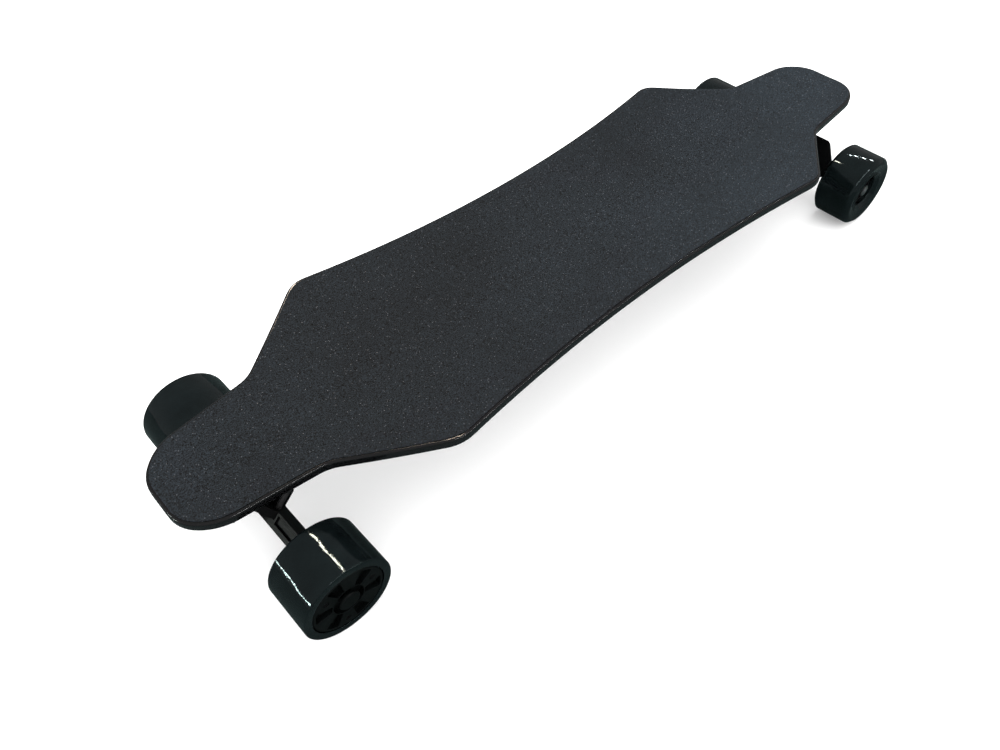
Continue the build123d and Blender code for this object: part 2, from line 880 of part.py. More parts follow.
def inner_cover(side):
    """Bevelled inner cover that carries the large bearing and closes the can."""
    y = inner_bearing_at
    with BuildPart() as cover:
        with BuildSketch(axle_plane(-1, side)):
            with BuildLine():
                Polyline(
                    (motor_boss_out, shaft_radius + 1.0),
                    (motor_boss_out, motor_boss_radius - 2.0),
                    (motor_boss_out + 2.0, motor_boss_radius),
                    (sleeve_in - 2.0, can_radius - 3.0),
                    (can_in, can_radius - 0.5),
                    (can_in, rotor_radius - 0.05),
                    (can_in + 3.0, rotor_radius - 0.05),
                    (can_in + 3.0, inner_bearing_radius + 5.0),
                    (y + inner_bearing_width, inner_bearing_radius + 2.4),
                    (y + inner_bearing_width, inner_bearing_radius),
                    (y, inner_bearing_radius),
                    (y, inner_bearing_radius - 2.0),
                    (motor_boss_out + 3.0, inner_bearing_radius - 2.0),
                    (motor_boss_out + 3.0, shaft_radius + 1.0),
                    close=True,
                )
            make_face()
        revolve(axis=axle_axis(-1))
    return cover.part


def motor_stator(side):
    """Laminated stator: hub and teeth with broad feet."""
    with BuildPart() as stator:
        with BuildSketch(face_plane(-1, side, stator_in)):
            Circle(stator_radius * 0.52)
            with PolarLocations(stator_radius * 0.72, tooth_count):
                Rectangle(stator_radius * 0.44, stator_radius * 0.12)
            with PolarLocations(stator_radius * 0.94, tooth_count):
                Rectangle(stator_radius * 0.07, stator_radius * 0.42)
            Circle(stator_radius, mode=Mode.INTERSECT)
            Circle(shaft_radius + touch_gap, mode=Mode.SUBTRACT)
        extrude(amount=stator_out - stator_in)
    return stator.part


def motor_windings(side):
    """One coil round each stator tooth."""
    with BuildPart() as coils:
        with BuildSketch(face_plane(-1, side, stator_in - 2.6)):
            with PolarLocations(stator_radius * 0.715, tooth_count):
                Rectangle(stator_radius * 0.3, stator_radius * 0.3)
        extrude(amount=stator_out - stator_in + 5.2)
        with BuildSketch(face_plane(-1, side, stator_in - 0.05)):
            with PolarLocations(stator_radius * 0.72, tooth_count):
                Rectangle(stator_radius * 0.46, stator_radius * 0.12 + 0.1)
        extrude(amount=stator_out - stator_in + 0.1, mode=Mode.SUBTRACT)
    return coils.part


def motor_magnets(side):
    """Ring of magnets lining the can."""
    slope = tan(radians(180 / magnet_count - 1.2))
    wedge = [(8, 8 * slope), (50, 50 * slope), (50, -50 * slope), (8, -8 * slope)]
    with BuildPart() as magnets:
        with BuildSketch(face_plane(-1, side, stator_in - 1)):
            with PolarLocations(0, magnet_count):
                Polygon(*wedge, align=None)
            Circle(rotor_radius - 0.01, mode=Mode.INTERSECT)
            Circle(magnet_radius, mode=Mode.SUBTRACT)
        extrude(amount=stator_out - stator_in + 2)
    return magnets.part


shafts = []
for side in (1, -1):
    shafts.append(
        turned(
            -1,
            side,
            [
                (50.0, 0),
                (50.0, clamp_radius),
                (arm_end + 1.0, clamp_radius),
                (arm_end + 1.0, shaft_radius),
                (shaft_shoulder, shaft_radius),
                (shaft_shoulder, shaft_nose_radius),
                (shaft_shoulder + outer_bearing_width + 0.4, shaft_nose_radius),
                (shaft_shoulder + outer_bearing_width + 0.4, 0),
            ],
        )
    )
save(joined(shafts), "motor_shafts")
save(joined([motor_stator(1), motor_stator(-1)]), "motor_stators")
save(joined([motor_windings(1), motor_windings(-1)]), "motor_windings")

for side, name in ((1, "left"), (-1, "right")):
    save(sleeve(side), "rear_" + name + "_tyre")
    can = turned_ring(-1, side, can_in, can_out, rotor_radius, can_radius - 0.01)
    save(can, "rear_" + name + "_can")
    save(motor_magnets(side), "rear_" + name + "_magnets")
    save(outer_cover(side), "rear_" + name + "_outer_cover")
    save(inner_cover(side), "rear_" + name + "_inner_cover")
    save(cover_screws(side), "rear_" + name + "_cover_screws")
    large = turned_ring(-1, side, inner_bearing_at, inner_bearing_at + inner_bearing_width,
                        shaft_radius + running_gap, inner_bearing_radius - 0.01)
    small = turned_ring(-1, side, shaft_shoulder + 0.4, shaft_shoulder + 0.4 + outer_bearing_width,
                        shaft_nose_radius + running_gap, bearing_radius - 0.01)
    save(joined([large, small]), "rear_" + name + "_bearings")


# ---------------------------------------------------------------- cases and electronics
wall_z = case_floor + case_height * 0.5


def case(start, length, way):
    """Open tub with a flange that follows the underside of the deck."""
    middle = way * (start + length / 2)
    with BuildPart() as tub:
        with BuildSketch(Plane.XY.offset(case_floor)):
            with Locations((middle, 0)):
                RectangleRounded(length, 2 * case_half, case_round)
        extrude(amount=case_height + 20)
        fillet(tub.faces().sort_by(Axis.Z)[0].edges(), case_foot_round)
        with BuildSketch(Plane.XY.offset(deck_low - flange_height - gasket_thickness)):
            with Locations((middle, 0)):
                RectangleRounded(length + 2 * flange_end, 2 * flange_half, case_round + 2)
        extrude(amount=20)
        with BuildSketch(Plane.XY.offset(case_floor + case_wall)):
            with Locations((middle, 0)):
                RectangleRounded(length - 2 * case_wall, 2 * (case_half - case_wall), case_round - case_wall)
        extrude(amount=case_height + 30, mode=Mode.SUBTRACT)
        with BuildSketch(Plane.YZ.offset(-half_length)):
            with Locations((0, arc_z)):
                Circle(low_radius + gasket_thickness)
        extrude(amount=deck_length, mode=Mode.SUBTRACT)
        with BuildSketch(Plane.XY.offset(case_floor)):
            with Locations(*case_screw_points(start, length, way)):
                Circle(case_screw_radius + case_screw_play)
        extrude(amount=case_height + 20, mode=Mode.SUBTRACT)
    return tub.part


def gasket(start, length, way):
    """Thin seal between one case and the deck."""
    middle = way * (start + length / 2)
    with BuildPart() as seal:
        with BuildSketch(Plane.XY.offset(deck_low - 8)):
            with Locations((middle, 0)):
                RectangleRounded(length + 2 * flange_end, 2 * flange_half, case_round + 2)
                RectangleRounded(
                    length - 2 * case_wall,
                    2 * (case_half - case_wall),
                    case_round - case_wall,
                    mode=Mode.SUBTRACT,
                )
            with Locations(*case_screw_points(start, length, way)):
                Circle(case_screw_radius + case_screw_play, mode=Mode.SUBTRACT)
        extrude(amount=30)
        with BuildSketch(Plane.YZ.offset(-half_length)):
            with Locations((0, arc_z)):
                Circle(low_radius + gasket_thickness)
                Circle(low_radius, mode=Mode.SUBTRACT)
        extrude(amount=deck_length, mode=Mode.INTERSECT)
    return seal.part


def right_wall_plane(x, out, z):
    """Plane square to the right wall of the cases, out from the middle line, facing inward."""
    return Plane(origin=(x, -out, z), x_dir=(1, 0, 0), z_dir=(0, 1, 0))


half_gap = case_gap / 2
wall_outside = right_wall_plane(0, case_half + 1, wall_z)
with BuildPart() as battery_tub:
    add(case(half_gap, battery_length, 1))
    with BuildSketch(wall_outside):
        with Locations((socket_x, socket_drop)):
            Circle(socket_radius + fit_gap)
    extrude(amount=case_wall + 2, mode=Mode.SUBTRACT)
    with BuildSketch(Plane.YZ.offset(half_gap - 1)):
        with Locations((0, wall_z)):
            Circle(wire_hole_radius + touch_gap)
    extrude(amount=case_wall + 2, mode=Mode.SUBTRACT)
save(battery_tub.part, "battery_case")

controller_back = -half_gap - controller_length
sink_middle = -half_gap - controller_length / 2
with BuildPart() as controller_tub:
    add(case(half_gap, controller_length, -1))
    with BuildSketch(wall_outside):
        with Locations((button_x, 0)):
            Circle(button_radius + 0.08)
        with Locations((light_x, 0)):
            RectangleRounded(light_x_size, light_z_size, light_round)
    extrude(amount=case_wall + 2, mode=Mode.SUBTRACT)
    with BuildSketch(Plane.YZ.offset(-half_gap + 1)):
        with Locations((0, wall_z)):
            Circle(wire_hole_radius + touch_gap)
    extrude(amount=-case_wall - 2, mode=Mode.SUBTRACT)
    with BuildSketch(Plane.YZ.offset(controller_back - 1)):
        with Locations((gland_y, wall_z), (-gland_y, wall_z)):
            Circle(gland_radius + touch_gap)
    extrude(amount=case_wall + 2, mode=Mode.SUBTRACT)
    with BuildSketch(Plane.XY.offset(case_floor - 1)):
        with Locations((sink_middle, 0)):
            RectangleRounded(sink_window_x, sink_window_y, 1)
    extrude(amount=case_wall + 2, mode=Mode.SUBTRACT)
save(controller_tub.part, "controller_case")

seals = [gasket(half_gap, battery_length, 1), gasket(half_gap, controller_length, -1)]
save(joined(seals), "case_gaskets")

screws = []
screw_seat = deck_low - flange_height - gasket_thickness
for x, y in battery_screws + controller_screws:
    with BuildPart() as screw:
        with BuildSketch(Plane.XY.offset(screw_seat)):
            with Locations((x, y)):
                Circle(case_screw_head)
        extrude(amount=-case_screw_head_height)
        with BuildSketch(Plane.XY.offset(screw_seat)):
            with Locations((x, y)):
                Circle(case_screw_radius)
        extrude(amount=flange_height + gasket_thickness + insert_length - 1)
        with BuildSketch(Plane.XY.offset(screw_seat - case_screw_head_height)):
            with Locations((x, y)):
                RegularPolygon(0.4 * case_screw_head, 6)
        extrude(amount=0.55 * case_screw_head_height, mode=Mode.SUBTRACT)
    screws.append(screw.part)
save(joined(screws), "case_screws")

cell_z = case_floor + case_wall + cell_radius + fit_gap
with BuildPart() as cells:
    for i in range(cells_along):
        x = half_gap + case_wall + wiring_room / 2 + i * cell_pitch_x + (cell_pitch_x - cell_length) / 2
        with BuildSketch(Plane.YZ.offset(x)):
            with GridLocations(cell_pitch_y, cell_pitch_y, cell_rows, 1):
                with Locations((0, cell_z)):
                    Circle(cell_radius)
        extrude(amount=cell_length)
save(cells.part, "battery_cells")

with BuildPart() as battery_board:
    with Locations((half_gap + battery_length / 2, 0, board_z)):
        Box(150, 60, 1.6)
    for x in (-50, -25, 0, 25, 50):
        with Locations((half_gap + battery_length / 2 + x, 12, board_z + 1.8)):
            Box(9, 11, 2)
    for x in (-65, 65):
        for y in (-25, 25):
            with Locations((half_gap + battery_length / 2 + x, y, board_z - 1.3)):
                Cylinder(2.0, 1.8)
save(battery_board.part, "battery_board")

sink_top = case_floor + case_wall + 3.0
with BuildPart() as heat_sink:
    with Locations((sink_middle, 0, sink_top - 1.5)):
        Box(sink_window_x + 12, sink_window_y + 12, 3)
    with BuildSketch(Plane.XY.offset(case_floor)):
        with Locations((sink_middle, 0)):
            RectangleRounded(sink_window_x - 0.4, sink_window_y - 0.4, 0.9)
    extrude(amount=case_wall)
    with Locations((sink_middle, 0, case_floor - fin_height / 2)):
        with GridLocations(1, fin_pitch, 1, fin_count):
            Box(sink_window_x - 8, 2.2, fin_height)
save(heat_sink.part, "heat_sink")

with BuildPart() as controller_board:
    with Locations((sink_middle, 0, sink_top + 1.8)):
        Box(140, 90, 1.6)
    for x in (-60, 60):
        for y in (-38, 38):
            with Locations((sink_middle + x, y, sink_top + 0.5)):
                Cylinder(2.5, 1.0)
    for x in (-45, -27, -9, 9, 27, 45):
        with Locations((sink_middle + x, 22, sink_top + 4.6)):
            Box(10, 15, 4)
    with Locations((sink_middle + 30, -20, sink_top + 3.1)):
        Box(14, 14, 1)
save(controller_board.part, "controller_board")

with BuildPart() as capacitors:
    for x in (-50, -18):
        with BuildSketch(Plane.YZ.offset(sink_middle + x)):
            with Locations((-30, sink_top + 2.6 + 7.0), (-13, sink_top + 2.6 + 7.0)):
                Circle(7.0)
        extrude(amount=26)
save(capacitors.part, "capacitors")

# button, its switch and the status light on the right wall
with BuildPart() as button:
    with BuildSketch(right_wall_plane(button_x, case_half + button_proud, wall_z)):
        Circle(button_radius)
    extrude(amount=button_length)
    fillet(button.edges().filter_by(GeomType.CIRCLE).sort_by(Axis.Y)[0], 0.8)
save(button.part, "power_button")
switch_face = -case_half - button_proud + button_length + button_travel + 0.3
with BuildPart() as switch:
    with Locations((button_x, switch_face + 2.5, wall_z - 3.5)):
        Box(9, 5, 15)
    with Locations((button_x, (switch_face + 5 - case_half + case_wall) / 2, wall_z - 9)):
        Box(9, switch_face + 5 + case_half - case_wall, 4)
save(switch.part, "button_switch")
with BuildPart() as lens:
    with BuildSketch(right_wall_plane(light_x, case_half + 0.4, wall_z)):
        RectangleRounded(light_x_size - 2 * touch_gap, light_z_size - 2 * touch_gap, light_round)
    extrude(amount=case_wall + 1.0)
save(lens.part, "status_light")

# charge socket with its hinge ears and pin, and the flap that covers it
hinge_y = -case_half - socket_flange - cap_thickness
socket_z = wall_z - socket_drop
hinge_z = socket_z + 9.8
with BuildPart() as socket:
    with BuildSketch(right_wall_plane(socket_x, case_half + socket_flange, socket_z)):
        Circle(socket_flange_radius)
    extrude(amount=socket_flange)
    with BuildSketch(right_wall_plane(socket_x, case_half, socket_z)):
        Circle(socket_radius)
    extrude(amount=socket_depth)
    for x in (-5.6, 5.6):
        with Locations((socket_x + x, (hinge_y - 1.6 - case_half) / 2, hinge_z)):
            Box(2.0, 1.6 - hinge_y - case_half, 3.2)
    with BuildSketch(Plane.YZ.offset(socket_x - 5.6)):
        with Locations((hinge_y, hinge_z)):
            Circle(hinge_pin_radius)
    extrude(amount=11.2)
    with BuildSketch(right_wall_plane(socket_x, case_half + socket_flange + 1, socket_z)):
        Circle(socket_bore)
    extrude(amount=socket_depth + 1, mode=Mode.SUBTRACT)
save(socket.part, "charge_socket")

with BuildPart() as flap:
    with BuildSketch(right_wall_plane(socket_x, 1.0 - hinge_y, socket_z)):
        Circle(socket_flange_radius - 0.7)
        with Locations((0, -5.0)):
            Rectangle(8.4, 9.0)
    extrude(amount=cap_thickness)
    with BuildSketch(Plane.YZ.offset(socket_x - 4.2)):
        with Locations((hinge_y, hinge_z)):
            Circle(knuckle_radius)
    extrude(amount=8.4)
    with BuildSketch(Plane.YZ.offset(socket_x - 6)):
        with Locations((hinge_y, hinge_z)):
            Circle(hinge_pin_radius + running_gap)
    extrude(amount=12, mode=Mode.SUBTRACT)
save(flap.part, "charge_cap")

# cables and their glands
with BuildPart() as power_cable:
    with BuildSketch(Plane.YZ.offset(-half_gap - 10)):
        with Locations((0, wall_z)):
            Circle(power_cable_radius)
    extrude(amount=case_gap + 20)
save(power_cable.part, "power_cable")


def gland(x, y, way, hole, wire):
    """Grommet in an end wall round a cable."""
    with BuildPart() as grommet:
        with BuildSketch(Plane(origin=(x, y, wall_z), x_dir=(0, 1, 0), z_dir=(way, 0, 0))):
            Circle(hole)
            Circle(wire + touch_gap, mode=Mode.SUBTRACT)
        extrude(amount=case_wall + 4)
        with BuildSketch(Plane(origin=(x, y, wall_z), x_dir=(0, 1, 0), z_dir=(way, 0, 0))):
            Circle(hole + 2.2)
            Circle(wire + touch_gap, mode=Mode.SUBTRACT)
        extrude(amount=-3.0)
    return grommet.part


glands = [
    gland(half_gap, 0, 1, wire_hole_radius, power_cable_radius),
    gland(-half_gap, 0, -1, wire_hole_radius, power_cable_radius),
    gland(controller_back, gland_y, 1, gland_radius, cable_radius),
    gland(controller_back, -gland_y, 1, gland_radius, cable_radius),
]
save(joined(glands), "cable_glands")


def motor_cable(side):
    """Limp motor cable from the rear hanger up to the controller case."""
    low = truck_xz(3.0, 0.8)
    high = truck_xz(3.0, 30.0)
    end_x = controller_back + case_wall + 6
    first = Vector(-axle_x - low[0], side * cable_exit, low[1])
    second = Vector(-axle_x - high[0], side * cable_exit, high[1])
    span = end_x - second.X
    points = [
        first,
        second,
        Vector(second.X + span * 0.36, side * (cable_exit + 3.5), wall_z + 2.5),
        Vector(second.X + span * 0.7, side * gland_y, wall_z),
        Vector(end_x, side * gland_y, wall_z),
    ]
    radii = []
    for before, here, after in zip(points, points[1:], points[2:]):
        run = min((here - before).length, (after - here).length)
        turn = radians((here - before).get_angle(after - here))
        radii.append(0.45 * run / tan(turn / 2))
    with BuildPart() as cable:
        with BuildLine():
            wire = FilletPolyline(*points, radius=radii)
        with BuildSketch(Plane(origin=wire @ 0, z_dir=wire % 0)):
            Circle(cable_radius)
        sweep()
    expected = pi * cable_radius**2 * wire.length
    print("cable radii", [round(r, 1) for r in radii], "length", round(wire.length, 1))
    print("cable volume over section times length", round(cable.part.volume / expected, 4))
    return cable.part


save(joined([motor_cable(1), motor_cable(-1)]), "motor_cables")
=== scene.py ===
import json
import logging
import math
from dataclasses import dataclass
from enum import Enum
from typing import Sequence

import bmesh
import bpy
import numpy as np
from mathutils import Matrix, Vector


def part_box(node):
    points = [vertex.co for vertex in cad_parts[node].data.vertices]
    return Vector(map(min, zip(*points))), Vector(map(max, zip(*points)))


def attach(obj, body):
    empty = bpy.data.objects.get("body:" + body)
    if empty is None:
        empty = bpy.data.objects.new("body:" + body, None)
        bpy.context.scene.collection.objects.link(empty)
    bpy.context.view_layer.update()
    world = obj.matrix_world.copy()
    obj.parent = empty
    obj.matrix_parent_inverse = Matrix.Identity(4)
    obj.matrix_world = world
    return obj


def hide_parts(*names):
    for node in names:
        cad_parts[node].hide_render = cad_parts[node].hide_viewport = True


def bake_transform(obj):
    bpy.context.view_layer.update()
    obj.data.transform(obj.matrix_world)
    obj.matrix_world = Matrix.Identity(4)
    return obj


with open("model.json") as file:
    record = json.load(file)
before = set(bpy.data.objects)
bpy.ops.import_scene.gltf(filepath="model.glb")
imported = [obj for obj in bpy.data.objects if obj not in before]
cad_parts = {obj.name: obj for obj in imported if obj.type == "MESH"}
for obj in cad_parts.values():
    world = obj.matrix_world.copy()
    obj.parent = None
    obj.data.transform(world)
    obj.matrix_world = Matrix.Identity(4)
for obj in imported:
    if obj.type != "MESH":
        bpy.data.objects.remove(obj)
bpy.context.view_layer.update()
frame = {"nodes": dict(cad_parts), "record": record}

logging.basicConfig(level=logging.INFO, format="%(message)s")
log = logging.getLogger("skateboard")
MM = 0.001
WELD = 2e-6
TINY = 1e-7
LATHE_STEPS = 160
RIM_ANGLE = 60.0
TURNED_ANGLE = 50.0
Point2 = tuple[float, float]
Point3 = tuple[float, float, float]
Socket = bpy.types.NodeSocket


class Slot(Enum):
    """Material slots of the record."""

    DECK = "deck_lacquer"
    GRIP = "grip"
    STEEL = "steel"
    RUBBER = "rubber"
    CAST = "cast_black"
    BUSHING = "bushing_urethane"
    PLASTIC = "case_plastic"
    CELL = "cell_wrap"
    BOARD = "board"
    SINK = "heat_sink_alloy"
    LENS = "light_lens"
    CABLE = "cable_rubber"
    LAMINATION = "lamination"
    COPPER = "copper"
    URETHANE = "wheel_urethane"
    CORE = "core_plastic"
    MOTOR = "motor_alloy"
    COVER = "motor_cover"


# ---------------------------------------------------------------- finishes
class Nodes:
    """Small helper round one material's node tree."""

    def __init__(self, name: str) -> None:
        """Start a material.

        Args:
            name: Name of the material.
        """
        self.material = bpy.data.materials.new(name)
        self.material.use_nodes = True
        self.tree = self.material.node_tree
        self.shader = self.tree.nodes["Principled BSDF"]
        self.coords = self.add("ShaderNodeTexCoord").outputs["Object"]

    def add(self, kind: str, **values: object) -> bpy.types.Node:
        """Add one node.

        Args:
            kind: Blender's node type.
            values: Node properties to set.

        Returns:
            The node.
        """
        node = self.tree.nodes.new(kind)
        for key, value in values.items():
            setattr(node, key, value)
        return node

    def link(self, out: Socket, into: Socket) -> None:
        """Join two sockets.

        Args:
            out: Output socket.
            into: Input socket.
        """
        self.tree.links.new(out, into)

    def stretched(self, scale: Point3) -> Socket:
        """Object coordinates scaled by axis.

        Args:
            scale: Factor on each axis.

        Returns:
            The vector output.
        """
        node = self.add("ShaderNodeMapping")
        node.inputs["Scale"].default_value = scale
        self.link(self.coords, node.inputs["Vector"])
        return node.outputs["Vector"]

    def noise(self, scale: float, detail: float = 3.0, stretch: Point3 | None = None) -> Socket:
        """Noise in object coordinates.

        Args:
            scale: Noise scale, in cells a metre.
            detail: Octaves of detail.
            stretch: Optional factor on each axis.

        Returns:
            The value output.
        """
        node = self.add("ShaderNodeTexNoise")
        node.inputs["Scale"].default_value = scale
        node.inputs["Detail"].default_value = detail
        self.link(self.stretched(stretch) if stretch else self.coords, node.inputs["Vector"])
        return node.outputs["Fac"]

    def ramp(self, value: Socket, low: float, high: float, a: float, b: float) -> Socket:
        """Map a value from one range to another, clamped.

        Args:
            value: Input value.
            low: Start of the input range.
            high: End of the input range.
            a: Output at the start.
            b: Output at the end.

        Returns:
            The mapped value.
        """
        node = self.add("ShaderNodeMapRange")
        for key, number in (("From Min", low), ("From Max", high), ("To Min", a), ("To Max", b)):
            node.inputs[key].default_value = number
        self.link(value, node.inputs["Value"])
        return node.outputs["Result"]

    def maths(self, operation: str, a: Socket, b: Socket | float) -> Socket:
        """Work out one sum.

        Args:
            operation: Name of the sum.
            a: First value.
            b: Second value, from a socket or as a number.

        Returns:
            The value output.
        """
        node = self.add("ShaderNodeMath", operation=operation)
        self.link(a, node.inputs[0])
        if isinstance(b, Socket):
            self.link(b, node.inputs[1])
        else:
            node.inputs[1].default_value = b
        return node.outputs[0]

    def mix(self, factor: Socket, a: Point3 | Socket, b: Point3) -> Socket:
        """Blend two colours.

        Args:
            factor: Blend factor.
            a: First colour, from a socket or as numbers.
            b: Second colour.

        Returns:
            The colour output.
        """
        node = self.add("ShaderNodeMix", data_type="RGBA")
        self.link(factor, node.inputs[0])
        if isinstance(a, Socket):
            self.link(a, node.inputs[6])
        else:
            node.inputs[6].default_value = (*a, 1.0)
        node.inputs[7].default_value = (*b, 1.0)
        return node.outputs[2]

    def dress(self, **values: Socket | float | Point3) -> None:
        """Set inputs of the surface shader.

        Args:
            values: Sockets, numbers or colours by input name, with _ for each space.
        """
        for key, value in values.items():
            into = self.shader.inputs[key.replace("_", " ")]
            if isinstance(value, Socket):
                self.link(value, into)
            else:
                into.default_value = (*value, 1.0) if isinstance(value, tuple) else value

    def bump(self, height: Socket, strength: float, distance: float, soft_edge: float = 0.0) -> None:
        """Bump the surface, with its edges softened.

        Args:
            height: Height value.
            strength: Bump strength.
            distance: Height of the bumps, in metres.
            soft_edge: Radius of the softened edges, in metres.
        """
        node = self.add("ShaderNodeBump")
        node.inputs["Strength"].default_value = strength
        node.inputs["Distance"].default_value = distance
        self.link(height, node.inputs["Height"])
        if soft_edge > 0:
            edge = self.add("ShaderNodeBevel", samples=6)
            edge.inputs["Radius"].default_value = soft_edge
            self.link(edge.outputs["Normal"], node.inputs["Normal"])
        self.link(node.outputs["Normal"], self.shader.inputs["Normal"])


@dataclass(frozen=True)
class Finish:
    """General finish: a mottled colour, uneven gloss and a fine bump."""

    name: str
    dark: Point3
    light: Point3
    rough: tuple[float, float]
    metallic: float = 0.0
    mottle: float = 60.0
    grain: float = 900.0
    stretch: Point3 = (1.0, 1.0, 1.0)
    bump: float = 0.2
    height: float = 0.00008
    soft_edge: float = 0.0004
    specular: float = 0.5

    def build(self) -> bpy.types.Material:
        """Make the material.

        Returns:
            The material.
        """
        n = Nodes(self.name)
        patches = n.noise(self.mottle, 4.0)
        grain = n.noise(self.grain, 3.0, self.stretch)
        n.dress(Base_Color=n.mix(n.ramp(patches, 0.35, 0.65, 0.0, 1.0), self.dark, self.light),
                Roughness=n.ramp(grain, 0.3, 0.7, *self.rough), Metallic=self.metallic,
                Specular_IOR_Level=self.specular)
        n.bump(grain, self.bump, self.height, self.soft_edge)
        return n.material


@dataclass(frozen=True)
class GripFinish:
    """Coarse black grit with a few bright facets, and a painted sheen that makes it a little paler when seen
    edge-on.
    """

    name: str = "grit tape"
    dark: Point3 = (0.0004, 0.0010, 0.0016)
    light: Point3 = (0.0126, 0.0204, 0.0282)
    glint: Point3 = (0.085, 0.090, 0.100)
    grit: float = 850.0
    facets: float = 700.0
    cloud: float = 4.0
    cloud_range: tuple[float, float] = (0.72, 1.12)
    # painted sheen: factor on the base colour, from face-on to edge-on views
    painted_edge_sheen: tuple[float, float] = (0.94, 1.36)

    def build(self) -> bpy.types.Material:
        """Make the material.

        Returns:
            The material.
        """
        n = Nodes(self.name)
        grit = n.noise(self.grit, 2.0)
        tone = n.mix(n.ramp(grit, 0.32, 0.68, 0.0, 1.0), self.dark, self.light)
        cells = n.add("ShaderNodeTexVoronoi", feature="F1")
        cells.inputs["Scale"].default_value = self.facets
        n.link(n.coords, cells.inputs["Vector"])
        pick = n.add("ShaderNodeSeparateColor")
        n.link(cells.outputs["Color"], pick.inputs["Color"])
        chosen = n.ramp(pick.outputs["Red"], 0.90, 0.97, 0.0, 1.0)
        facet = n.maths("MULTIPLY", chosen, n.ramp(cells.outputs["Distance"], 0.15, 0.42, 1.0, 0.0))
        clouds = n.ramp(n.noise(self.cloud, 3.0), 0.35, 0.65, *self.cloud_range)
        # painted sheen: the base colour is made paler where the grit is seen edge-on, standing in for its
        # sheen
        view = n.add("ShaderNodeLayerWeight")
        lit = n.maths("MULTIPLY", clouds, n.ramp(view.outputs["Facing"], 0.30, 0.52, *self.painted_edge_sheen))
        shade = n.add("ShaderNodeCombineColor")
        for part in ("Red", "Green", "Blue"):
            n.link(lit, shade.inputs[part])
        # base colour: the grit colour times the cloudy tone and the painted edge-on sheen
        grit_with_painted_sheen = n.add("ShaderNodeMix", data_type="RGBA", blend_type="MULTIPLY")
        grit_with_painted_sheen.inputs[0].default_value = 1.0
        n.link(n.mix(facet, tone, self.glint), grit_with_painted_sheen.inputs[6])
        n.link(shade.outputs[0], grit_with_painted_sheen.inputs[7])
        n.dress(Base_Color=grit_with_painted_sheen.outputs[2], Roughness=n.ramp(facet, 0.0, 1.0, 0.78, 0.3),
                Specular_IOR_Level=0.35)
        n.bump(grit, 0.55, 0.0003)
        return n.material


@dataclass(frozen=True)
class LacquerFinish:
    """Gloss black lacquer with the plies just showing along the edge."""

    name: str = "gloss black lacquer"
    arc: float = 0.6205
    radius: float = 0.5009
    ply: float = 0.0016
    seam: float = 0.25
    dark: Point3 = (0.0012, 0.0012, 0.0014)
    light: Point3 = (0.0032, 0.0032, 0.0036)

    def build(self) -> bpy.types.Material:
        """Make the material.

        Returns:
            The material.
        """
        n = Nodes(self.name)
        split = n.add("ShaderNodeSeparateXYZ")
        n.link(n.coords, split.inputs[0])
        flat = n.add("ShaderNodeCombineXYZ")
        n.link(split.outputs["Y"], flat.inputs["Y"])
        n.link(n.maths("SUBTRACT", split.outputs["Z"], self.arc), flat.inputs["Z"])
        far = n.add("ShaderNodeVectorMath", operation="LENGTH")
        n.link(flat.outputs[0], far.inputs[0])
        depth = n.maths("SUBTRACT", far.outputs["Value"], self.radius)
        lines = n.ramp(n.maths("PINGPONG", depth, self.ply), 0.0, self.ply * self.seam, 0.0, 1.0)
        grain = n.noise(420.0, 4.0, (0.05, 1.0, 1.0))
        mottled = n.maths("MULTIPLY", lines, n.ramp(grain, 0.3, 0.7, 0.4, 1.0))
        n.dress(Base_Color=n.mix(mottled, self.dark, self.light),
                Roughness=n.ramp(n.noise(30.0, 3.0), 0.3, 0.7, 0.12, 0.24),
                Coat_Weight=0.6, Coat_Roughness=0.08)
        n.bump(mottled, 0.12, 0.00006)
        return n.material


@dataclass(frozen=True)
class UrethaneFinish:
    """Gloss urethane with uneven gloss and a slightly wavy skin."""

    name: str = "gloss urethane"
    tint: Point3 = (0.0012, 0.0020, 0.0022)
    light: Point3 = (0.0028, 0.0044, 0.0047)
    rough: tuple[float, float] = (0.03, 0.08)
    ripple: float = 0.045
    wave_height: float = 0.0015
    mirror: Point3 = (0.78, 0.97, 1.0)

    def build(self) -> bpy.types.Material:
        """Make the material.

        Returns:
            The material.
        """
        n = Nodes(self.name)
        patches = n.noise(45.0, 4.0)
        waves = n.add("ShaderNodeMath", operation="MULTIPLY_ADD")
        n.link(n.noise(420.0, 2.0, (1.0, 0.6, 1.0)), waves.inputs[0])
        waves.inputs[1].default_value = self.ripple
        n.link(n.noise(28.0, 1.0), waves.inputs[2])
        n.bump(waves.outputs[0], 1.0, self.wave_height)
        n.dress(Base_Color=n.mix(n.ramp(patches, 0.3, 0.7, 0.0, 1.0), self.tint, self.light),
                Roughness=n.ramp(n.noise(260.0, 5.0), 0.3, 0.7, *self.rough), Specular_Tint=self.mirror)
        return n.material


